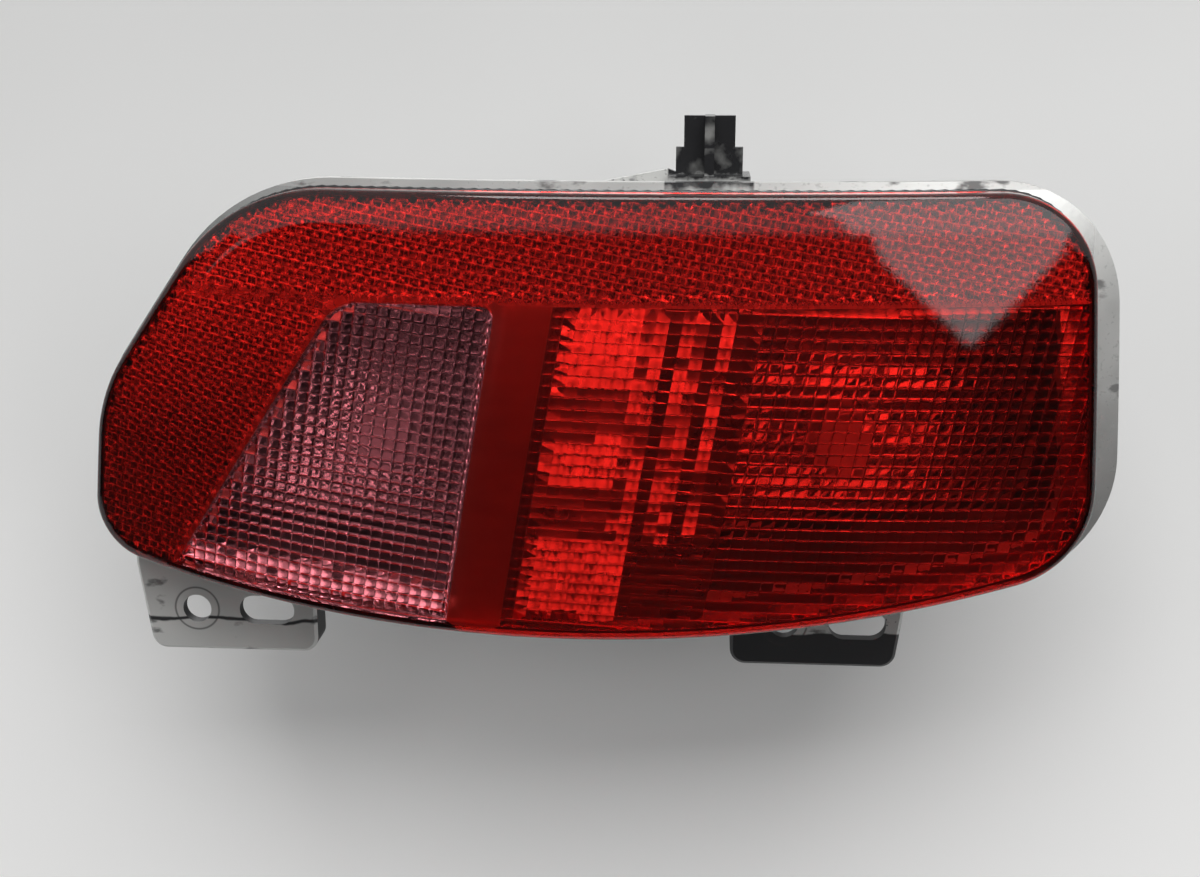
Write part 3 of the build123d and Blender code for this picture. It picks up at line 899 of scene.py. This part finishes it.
def reflex_field():
    """Points of the reflex pins and their heights, above the line and left of the window.

    Rows of points along the borders carry the pins' heights up to them.
    """
    o = optics()
    step, keep = o.pin_side / 4, o.pin_side / 6
    line = reflex_line() + o.reflex_gap
    corner, slant = slanted_side()

    def held(points, margin):
        left = (points - corner) @ slant < -o.reflex_gap - margin
        return ((points[:, 1] > line + margin) | left) & inside(points, outline(o.frame + margin))

    lattice = pin_points(outline(o.frame))
    lattice = lattice[held(lattice, keep)]
    rim = divide(outline(o.frame), step)
    rim = rim[held(rim, -o.pin_side / 20)]
    # The line and the slanted side meet in a corner, and a row runs from it along each
    turn = np.array([corner[0] - o.reflex_gap * (slant[1] + 1) / slant[0], line])
    run = np.arange(0, lens().width, step)[:, None]
    level = turn + run * np.array([1.0, 0.0])
    sloping = turn + run[1:] * np.array([slant[1], -slant[0]])
    inner = outline(o.frame + keep)
    points = np.concatenate([lattice, rim, level[inside(level, inner)], sloping[inside(sloping, inner)]])
    return points, pins(points)


class LAMP_OT_red_lens(bpy.types.Operator):
    """Builds the red lens: a rounded skin on a skirt, with reflex pins and fog pillows behind."""

    bl_idname = "lamp.red_lens"
    bl_label = "Red lens"

    def execute(self, context):
        s, o = lens(), optics()
        shell = Shell()
        rim, border = outline(s.edge), outline(s.skirt_wall)
        window = reversing_loop(-o.window_gap, o.reversing_frame)
        loose, rise = self.face_points()
        points, faces = triangles([rim, window], loose)
        lift = np.concatenate([np.zeros(len(rim) + len(window)), rise])
        face = shell.add(raised(points, face_y(points, 0.0) - lift), faces)
        rows = [face + np.arange(len(rim)), *self.skirt(shell)]
        back = self.back(shell, border, window)
        rows.append(back + np.arange(len(border)))
        for first, second in zip(rows, rows[1:]):
            shell.strip(first, second)
        hole = np.arange(len(window))
        shell.strip(back + len(border) + hole, face + len(rim) + hole)
        clear_tint = (0.97, 0.9, 0.88)
        materials = [
            acrylic("red_acrylic", colours().red),
            acrylic("red_acrylic_back", clear_tint),
            pin_coat("reflex_pins_painted_reflection", (1.0, 0.97, 0.97)),
            acrylic("red_acrylic_grained", clear_tint, 0.5),
            moulding("dark_border", colours().black),
        ]
        offer(shell.mesh("red_lens_moulding", materials, LENS_CREASE), "red_lens", "red_lens")
        return {"FINISHED"}

    @staticmethod
    def face_points():
        """Points of the face and how far they stand out: a square grid and the faint fold.

        The fold is a bell across the distance from its line, and fades along it as a sine.
        """
        s = lens()
        bell, reach, keep, window_keep = 0.0005, 0.0012, 0.0016, 0.0015
        points = grid(outline(s.edge + FACE_KEEP), FACE_GRID)
        points = points[~inside(points, reversing_loop(-window_keep, optics().reversing_frame))]
        upper = (points[:, 0] < s.shift - s.width / 8) & (points[:, 1] > s.rise + s.height / 2)
        band = inside(points, outline(s.crease - keep)) & ~inside(points, outline(s.crease + keep))
        points = points[~(upper & band)]
        rows, rises = [points], [np.zeros(len(points))]
        base = outline()
        kept = (base[:, 0] < s.shift - s.width / 6) & (base[:, 1] > s.rise + 0.55 * s.height)
        fade = np.sin(np.linspace(0, pi, kept.sum()))
        for step in np.linspace(-reach, reach, 7):
            rows.append(outline(s.crease + step)[kept])
            rises.append(s.crease_height * fade * np.exp(-((step / bell) ** 2)))
        return np.concatenate(rows), np.concatenate(rises)

    @staticmethod
    def skirt(shell):
        """Rows of the rounded edge, a quarter circle, of the outer wall and of the foot."""
        s = lens()
        turn = np.linspace(0, pi / 2, 7)[1:]
        foot = s.skirt - s.weld
        # Profile points as (inset, depth behind the face)
        profile = [(s.edge * (1 - np.sin(a)), s.edge * (1 - np.cos(a))) for a in turn]
        rows = []
        for inset, depth in (*profile, (0.0, foot), (s.skirt_wall, foot)):
            ring = outline(inset)
            rows.append(shell.row(raised(ring, face_y(ring, depth))))
        return rows

    @staticmethod
    def back(shell, border, window):
        """Adds the back with the optics of its fields, and returns the number of its first point."""
        s, o = lens(), optics()
        pin_places, pin_heights = reflex_field()
        fields = plain_fields()
        start = len(border) + len(window)
        pins_end = start + len(pin_places)
        points, faces = triangles([border, window], np.concatenate([pin_places, *[p for p, _ in fields]]))
        height = np.concatenate([np.zeros(start), pin_heights, *[h for _, h in fields]])
        # Pins are coated, what lies between the fields is grained and the border over the weld is dark
        pinned = ((faces >= start) & (faces < pins_end)).all(1)
        middle = points[faces].mean(1)
        framed = inside(middle, outline(o.frame))
        grained = ~pinned & framed & ~inside(middle, fog_loop(FOG_EDGE, o.frame))
        dark = ~pinned & ~framed
        clear = ~(pinned | grained | dark)
        faces = faces[:, ::-1]
        first = shell.add(raised(points, face_y(points, s.wall) + height), faces[clear], 1)
        for slot, chosen in ((2, pinned), (3, grained), (4, dark)):
            shell.join(faces[chosen] + first, slot)
        return first


def plain_fields():
    """Points and heights of the fog pillows, of a fine ridge along the reflex line and of the
    plain strip."""
    s, o = lens(), optics()
    line = reflex_line()
    ridge, ridge_half, ridge_height, ridge_step = 0.0005, 0.0004, 0.0004, 0.0012
    strip_keep, strip_grid = 0.001, 0.0035
    window_keep, fog_keep = 0.0012, 0.0004
    cuts = (0.0, 0.08, 0.24, 0.5, 0.76, 0.92)
    clear = reversing_loop(-window_keep, o.reversing_frame)
    fog = pillow_points(fog_loop(fog_keep, o.frame), fog_lattice(), cuts)
    fields = [(fog, pillows(fog, fog_lattice(), o.fog_bulge, o.fog_power))]
    x = np.arange(s.shift - s.width / 2, s.shift + s.width / 2, ridge_step)
    for rise, up in ((ridge - ridge_half, 0.0), (ridge, ridge_height), (ridge + ridge_half, 0.0)):
        row = np.stack([x, np.full(len(x), line + rise)], -1)
        row = row[inside(row, outline(o.frame)) & ~inside(row, clear)]
        fields.append((row, np.full(len(row), up)))
    corner, slant = slanted_side()
    strip = grid(outline(o.frame), strip_grid)
    strip = strip[(strip[:, 1] < line - strip_keep) & ~inside(strip, clear)]
    strip = strip[~inside(strip, fog_loop(-strip_keep, o.frame - strip_keep))]
    strip = strip[(strip - corner) @ slant > 0]
    for points in (divide(fog_loop(FOG_EDGE, o.frame), o.pin_side / 3), strip):
        fields.append((points, np.zeros(len(points))))
    return fields


class LAMP_OT_reversing_window(bpy.types.Operator):
    """Builds the pale reversing window with rows of pillows on its back."""

    bl_idname = "lamp.reversing_window"
    bl_label = "Reversing window"

    def execute(self, context):
        s, o = lens(), optics()
        width, pillow_keep, plain_keep = o.reversing_frame, 0.0008, 0.0004
        cuts = (0.0, 0.07, 0.18, 0.36, 0.64, 0.82, 0.93)
        shell = Shell()
        border = reversing_loop(o.window_gap, width)
        points, faces = triangles([border], grid(reversing_loop(FACE_KEEP, width), FACE_GRID))
        face = shell.add(raised(points, face_y(points, 0.0)), faces)
        lattice = pillow_points(reversing_loop(pillow_keep, width), reversing_lattice(), cuts)
        plain = divide(reversing_loop(plain_keep, width), o.pin_side / 3)
        height = pillows(lattice, reversing_lattice(), o.reversing_bulge, o.reversing_power)
        points, faces = triangles([border], np.concatenate([lattice, plain]))
        height = np.concatenate([np.zeros(len(border)), height, np.zeros(len(plain))])
        back = shell.add(raised(points, face_y(points, s.wall) + height), faces[:, ::-1], 1)
        edge = np.arange(len(border))
        shell.strip(face + edge, back + edge)
        materials = [
            acrylic("pale_acrylic", colours().pink),
            acrylic("pale_acrylic_back", (0.97, 0.93, 0.93)),
        ]
        offer(shell.mesh("reversing_window_moulding", materials, LENS_CREASE), "clear_lens", "reversing_lens")
        return {"FINISHED"}


def bowl_y(points, axis):
    """Y of a bowl: a circle that swings about a leaning line, of radius less by the parabola."""
    s = reflector()
    lean = optics().lean
    across = (points - axis) @ np.array([np.cos(lean), -np.sin(lean)])
    along = (points - axis) @ np.array([np.sin(lean), np.cos(lean)])
    radius = s.swing - across**2 / (4 * s.focus)
    return np.minimum(s.bowl - s.swing + np.sqrt(radius**2 - along**2) - s.clearance, s.floor)


def chance(column, row=0.0):
    """A steady number from 0 to 1 for each cell of a lattice."""
    return np.modf(np.abs(np.sin(column * 12.9871 + row * 78.2333)) * 43758.5)[0]


def sheet(name, loop, lattice, base_y, slopes, materials, hole=None):
    """A faceted sheet: each facet is a plane through the base surface at its middle, with slopes to
    the side and upwards that a function of its middle and its column and row gives. Steep steps
    between facets are black, as painted shade."""
    loop = divide(loop, 2 * lens().step)
    loops = [loop] if hole is None else [loop, hole]
    size, slope = lattice
    gap, smaller, larger, steep_share, crease = 0.02, 0.997, 1.04, 0.6, radians(5)
    points = pillow_points(loop, lattice, (gap, 1 - gap))
    points = points[inside(points, loop.mean(0) + (loop - loop.mean(0)) * smaller)]
    if hole is not None:
        points = points[~inside(points, hole.mean(0) + (hole - hole.mean(0)) * larger)]
    points, faces = triangles(loops, points)
    axes = pillow_axes(slope)
    cell = np.floor(points @ axes.T / size)
    middle = (cell + 0.5) * size @ np.linalg.inv(axes).T
    side, up = slopes(middle, *cell.T)
    away = points - middle
    front = raised(points, base_y(middle) + side * away[:, 0] + up * away[:, 1])
    a, b, c = front[faces].transpose(1, 0, 2)
    normal = np.cross(b - a, c - a)
    # Steep steps between the facets take the black moulding as painted shade
    steep = np.abs(normal[:, 1]) < steep_share * np.sqrt((normal**2).sum(1))
    shell = Shell()
    face = shell.add(front, faces[~steep])
    shell.join(faces[steep] + face, 1)
    back = shell.add(front + np.array([0.0, reflector().sheet, 0.0]), faces[:, ::-1], 1)
    start = 0
    for edge in loops:
        index = start + np.arange(len(edge))
        shell.strip(face + index, back + index, 1)
        start += len(edge)
    offer(shell.mesh(name, materials, crease), "housing")


def shallow_y(points):
    """Y of the shallow sheets, close behind the lens."""
    return face_y(points, reflector().depth)


def seen_at(points, y):
    """Where points at y show on the face of the lens for someone at the viewpoint, about."""
    eye = np.array(reflector().viewpoint)
    gap = (y - face_y(points, 0.0)) / (y - eye[1])
    return points + (eye[[0, 2]] - points) * gap[:, None]


def window_place(points, left):
    """Distances right of a leaning line and down from the reflex line."""
    drop = reflex_line() - points[:, 1]
    return points[:, 0] + drop * tan(optics().lean) - left, drop


def tilt(lit, spread):
    """Slopes of facets: towards the window when lit, else straight ahead and a little down."""
    r = reflector()
    return lit * r.lit_side + spread, lit * r.lit_up + (1 - lit) * r.dark_up - spread


def fog_strip_slopes(middle, column, row):
    """Three lit blocks at the left, then flutes of lit and dark columns."""
    first_end, second, third_start = 0.0178, (0.030, 0.0418), 0.0545
    block_width, third_width, flute_end = 0.0205, 0.0275, 0.056
    across, drop = window_place(middle, fog_left())
    third = drop > third_start
    block = (drop < first_end) | ((drop > second[0]) & (drop < second[1])) | third
    flute = (chance(column) < 0.6) * (0.35 + 0.65 * chance(column, row)) * (drop < flute_end)
    in_block = (across < block_width) | ((across < third_width) & third)
    return tilt(np.where(in_block, 0.48 + 0.52 * block, flute), 0.16 * (chance(row, column) - 0.5))


def fog_bowl_slopes(middle, column, row):
    """Rows of lit blocks on a dark ground, fewer towards the right and the bottom."""
    pitch, start, right, top, bottom = 0.0123, 0.6, 0.1, 0.012, 0.06
    axis = bulb_axis(reflector().fog_shift)
    across, drop = window_place(seen_at(middle, bowl_y(middle, axis)), fog_left())
    band = np.sin(drop * 2 * pi / pitch + start) > 0.1
    lit = band & (chance(column, row) < 0.75) & (across < right) & (drop > top) & (drop < bottom)
    lit = np.where(lit, 0.6 + 0.4 * chance(row, column), 0.3 * chance(column, row))
    return tilt(lit, 0.16 * (chance(row, column) - 0.5))


def reversing_bowl_slopes(middle, column, row):
    """Dark cells among lit ones, which are more towards the bottom and the slanted side."""
    axis = bulb_axis(reflector().reversing_shift)
    across, drop = window_place(seen_at(middle, bowl_y(middle, axis)), reversing_right())
    share_lit = np.clip(12 * drop - 8 * across - 0.25, 0.15, 0.65)
    lit = np.where(chance(column, row) < share_lit, 1.0, 0.3)
    return tilt(lit, 0.1 * (chance(row, column) - 0.5))


def reversing_ledge_slopes(middle, column, row):
    """Two lit rows that follow the bottom edge."""
    s = lens()
    low, high = 0.0045, 0.0105
    edge = s.rise + (middle[:, 0] - s.shift - s.bottom_shift) ** 2 / (2 * s.bottom_radius)
    up = middle[:, 1] - edge
    lit = (up > low) & (up < high) & (chance(column, row) < 0.92)
    return tilt(lit, 0.06 * (chance(row, column) - 0.5))


def column_border(x):
    """Where the next border between fog columns right of x crosses the reflex line."""
    o = optics()
    lean = tan(o.lean) * reflex_line()
    return np.ceil((x - lean) / o.fog_pillow) * o.fog_pillow + lean


def bulb_axis(shift):
    """Axis of a bulb in the plane of the lens."""
    return np.array([lens().shift + shift, lens().rise + reflector().rise])


def bulb_hole(axis):
    """The round hole for a bulb."""
    return axis + reflector().hole * unit(np.linspace(0, 2 * pi, 72, endpoint=False))


class LAMP_OT_reflectors(bpy.types.Operator):
    """Builds the faceted reflectors in the bowls and the shallow sheets on the plate."""

    bl_idname = "lamp.reflectors"
    bl_label = "Reflectors"

    def execute(self, context):
        # Black moulding for the backs of the sheets, and on their steep steps as painted shade
        bare = moulding("black_backs_and_painted_shade_steps", colours().black)
        bright = [metal_coat("vacuum_aluminium", (0.66, 0.66, 0.65), 0.2), bare]
        dull = [metal_coat("dull_aluminium", (0.46, 0.46, 0.455), 0.24), bare]
        self.fog(bright, dull)
        self.reversing(bright)
        return {"FINISHED"}

    @staticmethod
    def fog(bright, dull):
        """A shallow sheet at the left and the bowl beside it."""
        r = reflector()
        axis = bulb_axis(r.fog_shift)
        point, normal = leaning_side(column_border(fog_left() + r.strip), False)
        loop = clip(fog_loop(r.margin, r.border), point, normal)
        loop = clip(loop, *leaning_side(column_border(fog_left() + r.margin), True))
        sheet("fog_strip", loop, fog_lattice(), shallow_y, fog_strip_slopes, dull)
        loop = clip(fog_loop(r.side, r.land), point - r.margin * normal, -normal)
        bowl = partial(bowl_y, axis=axis)
        sheet("fog_reflector", loop, fog_lattice(), bowl, fog_bowl_slopes, bright, bulb_hole(axis))

    @staticmethod
    def reversing(bright):
        """A ledge along the bottom edge and the bowl above it."""
        r = reflector()
        axis = bulb_axis(r.reversing_shift)
        fall = np.array([-r.ledge_slope, -1.0]) / sqrt(1 + r.ledge_slope**2)
        top = np.array([axis[0], lens().rise + r.ledge])
        loop = clip(reversing_loop(r.margin, r.border), top, fall)
        sheet("reversing_ledge", loop, reversing_lattice(), shallow_y, reversing_ledge_slopes, bright)
        loop = clip(reversing_loop(r.side, r.land), top - r.margin * fall, -fall)
        bowl, hole = partial(bowl_y, axis=axis), bulb_hole(axis)
        sheet("reversing_reflector", loop, reversing_lattice(), bowl, reversing_bowl_slopes, bright, hole)


class LAMP_OT_weld_bead(bpy.types.Operator):
    """Carries a ribbed bead of black weld along the foot of the lens skirt."""

    bl_idname = "lamp.weld_bead"
    bl_label = "Weld bead"

    def execute(self, context):
        s, h = lens(), housing()
        gap, rib_share = 0.00002, 0.3
        # Profile points as (inset, height over the plate); those outside the skirt carry the ribs
        profile = (
            (s.skirt_wall, gap),
            (s.skirt_wall, s.weld - gap),
            (0.0, s.weld - gap),
            (-0.6 * h.bead, 0.9 * s.weld),
            (-h.bead, s.weld / 2),
            (-0.6 * h.bead, 0.1 * s.weld),
            (0.0, gap),
        )
        base = outline()
        normal = (base - outline(s.step)) / s.step
        ribs = 1 + rib_share * np.sin(2 * pi * np.arange(len(base)) * s.step / h.ribs)
        shell, rows = Shell(), []
        for inset, up in profile:
            out = np.where(inset < 0, ribs, 1.0) * inset
            ring = base - out[:, None] * normal
            rows.append(shell.row(raised(ring, face_y(ring, s.skirt - up))))
        for first, second in zip(rows, [*rows[1:], rows[0]]):
            shell.strip(second, first)
        weld = moulding("black_weld", (0.012, 0.011, 0.012), 900.0, 0.00006, (0.2, 0.4))
        offer(shell.mesh("weld_bead", [weld], radians(40)), "housing")
        return {"FINISHED"}


class LAMP_OT_fittings(bpy.types.Operator):
    """Gives the housing, bulbs, holders, contacts and seals their finishes."""

    bl_idname = "lamp.fittings"
    bl_label = "Housing and fittings"

    def execute(self, context):
        glass, tin = bulb_glass(), tinned_metal()
        grip = moulding("holder_plastic", (0.022, 0.022, 0.024), nose=(0.5, 0.5, 0.48))
        rubber = moulding("seal_rubber", (0.03, 0.03, 0.03), 2600.0, 0.00005, (0.7, 0.9))
        finishes = {"housing": housing_coat(), "holder_seals": rubber}
        for lamp in ("fog", "reversing"):
            finishes[f"{lamp}_bulb"] = glass
            finishes[f"{lamp}_bulb_holder"] = grip
            finishes[f"{lamp}_contact_spring"] = tin
            finishes[f"{lamp}_terminals"] = tin
        for node, material in finishes.items():
            mesh = frame["nodes"][node].data
            mesh.materials.clear()
            mesh.materials.append(material)
        return {"FINISHED"}


# Stage


def softbox(name, place, target, size, power, roll=0.0):
    """A rectangular soft light that looks at a point."""
    data = bpy.data.lights.new(name, "AREA")
    data.shape = "RECTANGLE"
    data.size, data.size_y = size
    data.energy = power
    light = bpy.data.objects.new(name, data)
    aim = (Vector(target) - Vector(place)).to_track_quat("-Z", "Y")
    light.rotation_mode = "QUATERNION"
    light.rotation_quaternion = aim @ Quaternion((0, 0, 1), roll)
    light.location = place
    bpy.context.scene.collection.objects.link(light)
    return light


def panel(name, corners, material):
    """A flat stage panel from its four corners."""
    mesh = bpy.data.meshes.new(name)
    mesh.from_pydata(corners, [], [(0, 1, 2, 3)])
    mesh.materials.append(material)
    made = bpy.data.objects.new(name, mesh)
    bpy.context.scene.collection.objects.link(made)
    return made


def photo_camera(scene):
    """The camera at the photo's angle."""
    s = stage()
    data = bpy.data.cameras.new("photo_camera")
    data.lens = s.focal
    data.sensor_width = s.sensor
    data.sensor_fit = "HORIZONTAL"
    camera = bpy.data.objects.new("photo_camera", data)
    camera.location = s.eye
    camera.rotation_euler = (Vector(s.target) - Vector(s.eye)).to_track_quat("-Z", "Y").to_euler()
    scene.collection.objects.link(camera)
    scene.camera = camera


def table():
    """A table top behind the lamp, with painted shade that darkens it towards the top, and open when seen
    from its back.
    """
    s = stage()
    f = Finish("table_top_painted_shade")
    cloud = f.noise(6.0, 2.0)
    # Painted shade: the colour darkens towards the top and lightens to the right, for the fall of light on
    # the table; the cloud is random tone
    across, _, high = f.parts(f.place)
    high = f.math("SUBTRACT", high, f.times(across, 0.05))
    shade = f.math("ADD", f.ramp(high, -0.12, 0.2), f.ramp(cloud, 0.3, 0.7, -0.04, 0.04))
    f.set(
        Base_Color=f.blend(shade, solid((0.97, 0.965, 0.955)), solid((0.5, 0.5, 0.495))),
        Roughness=f.ramp(cloud, 0.3, 0.7, 0.5, 0.65),
        Normal=f.bump(f.noise(900.0, 2.0), 0.00002, 0.3),
    )
    clear = f.node("ShaderNodeBsdfTransparent").outputs[0]
    behind = f.node("ShaderNodeNewGeometry").outputs["Backfacing"]
    mix = f.node("ShaderNodeMixShader", {0: behind, 1: f.shader.outputs[0], 2: clear})
    f.links.new(mix.outputs[0], f.nodes["Material Output"].inputs["Surface"])
    half, y = s.table_half, CAD_HIGH.y + s.table_gap
    corners = [(-half, y, -half), (half, y, -half), (half, y, half), (-half, y, half)]
    panel("table", corners, f.material).visible_shadow = False


def dark_card():
    """A dark card in front, for the lens to mirror."""
    s = stage()
    f = Finish("dark_card")
    grey = f.blend(f.noise(4.0), solid((0.03, 0.03, 0.032)), solid((0.05, 0.05, 0.05)))
    f.set(Base_Color=grey, Roughness=0.9)
    y = -s.card_distance
    sides = ((s.card_left, s.card_top), (s.card_right, s.card_top), (s.card_right, s.card_bottom))
    corners = [(x, y, z) for x, z in (*sides, (s.card_left, s.card_bottom))]
    panel("card", corners, f.material).visible_camera = False


def pale_room(scene):
    """Pale surroundings, brighter where they are seen than as light."""
    s = stage()
    world = bpy.data.worlds.new("pale_room")
    scene.world = world
    world.use_nodes = True
    nodes, links = world.node_tree.nodes, world.node_tree.links
    background = nodes["Background"]
    background.inputs["Color"].default_value = (0.9, 0.91, 0.92, 1.0)
    path = nodes.new("ShaderNodeLightPath")
    seen = path.outputs["Is Camera Ray"]
    for kind in ("Is Glossy Ray", "Is Transmission Ray"):
        either = nodes.new("ShaderNodeMath")
        either.operation = "MAXIMUM"
        links.new(seen, either.inputs[0])
        links.new(path.outputs[kind], either.inputs[1])
        seen = either.outputs[0]
    strength = nodes.new("ShaderNodeMapRange")
    strength.inputs["To Min"].default_value = s.room
    strength.inputs["To Max"].default_value = s.seen_room
    links.new(seen, strength.inputs["Value"])
    links.new(strength.outputs[0], background.inputs["Strength"])


class LAMP_OT_stage(bpy.types.Operator):
    """Sets a pale table behind the lamp, soft light and the camera."""

    bl_idname = "lamp.stage"
    bl_label = "Stage"

    def execute(self, context):
        scene = context.scene
        scene.view_settings.view_transform = "Standard"
        photo_camera(scene)
        table()
        dark_card()
        pale_room(scene)
        # Soft light from above, a window at the right, and fills at the left and behind
        middle = (0.03, 0.0, 0.06)
        right_end = (0.11, -0.03, 0.08)
        softbox("overhead", (0.15, -0.75, 1.0), middle, size=(1.1, 0.7), power=17.5)
        softbox("window", (0.72, -0.98, 0.35), right_end, size=(0.62, 0.52), power=2.5, roll=radians(45))
        left = softbox("left_fill", (-1.0, -0.6, 0.35), middle, size=(0.6, 0.6), power=3.0)
        left.visible_glossy = False
        softbox("rear_fill", (-0.3, 1.0, 0.7), middle, size=(0.8, 0.8), power=8.0)
        return {"FINISHED"}


class LAMP_PT_panel(bpy.types.Panel):
    """Lists the steps of the lamp in the sidebar."""

    bl_idname = "LAMP_PT_panel"
    bl_label = "Rear bumper lamp"
    bl_space_type = "VIEW_3D"
    bl_region_type = "UI"
    bl_category = "Lamp"

    def draw(self, context):
        for group in GROUPS:
            settings = getattr(context.scene, group)
            for name in settings.__annotations__:
                self.layout.prop(settings, name)
        for operator in OPERATORS:
            self.layout.operator(operator.bl_idname)


GROUPS = {
    "lamp_lens": LAMP_PG_lens,
    "lamp_optics": LAMP_PG_optics,
    "lamp_reflector": LAMP_PG_reflector,
    "lamp_housing": LAMP_PG_housing,
    "lamp_stage": LAMP_PG_stage,
    "lamp_colours": LAMP_PG_colours,
}
OPERATORS = (
    LAMP_OT_stage,
    LAMP_OT_red_lens,
    LAMP_OT_reversing_window,
    LAMP_OT_reflectors,
    LAMP_OT_weld_bead,
    LAMP_OT_fittings,
)


def register():
    """Registers the settings, the operators and the panel."""
    for group in GROUPS.values():
        bpy.utils.register_class(group)
    for name, group in GROUPS.items():
        setattr(bpy.types.Scene, name, PointerProperty(type=group))
    for item in (*OPERATORS, LAMP_PT_panel):
        bpy.utils.register_class(item)


def unregister():
    """Takes them out again."""
    for item in (LAMP_PT_panel, *reversed(OPERATORS)):
        bpy.utils.unregister_class(item)
    for name in GROUPS:
        delattr(bpy.types.Scene, name)
    for group in GROUPS.values():
        bpy.utils.unregister_class(group)


def main():
    """Builds the lamp and its stage."""
    register()
    bpy.ops.lamp.stage()
    bpy.ops.lamp.red_lens()
    bpy.ops.lamp.reversing_window()
    bpy.ops.lamp.reflectors()
    bpy.ops.lamp.weld_bead()
    bpy.ops.lamp.fittings()


if __name__ == "__main__":
    main()
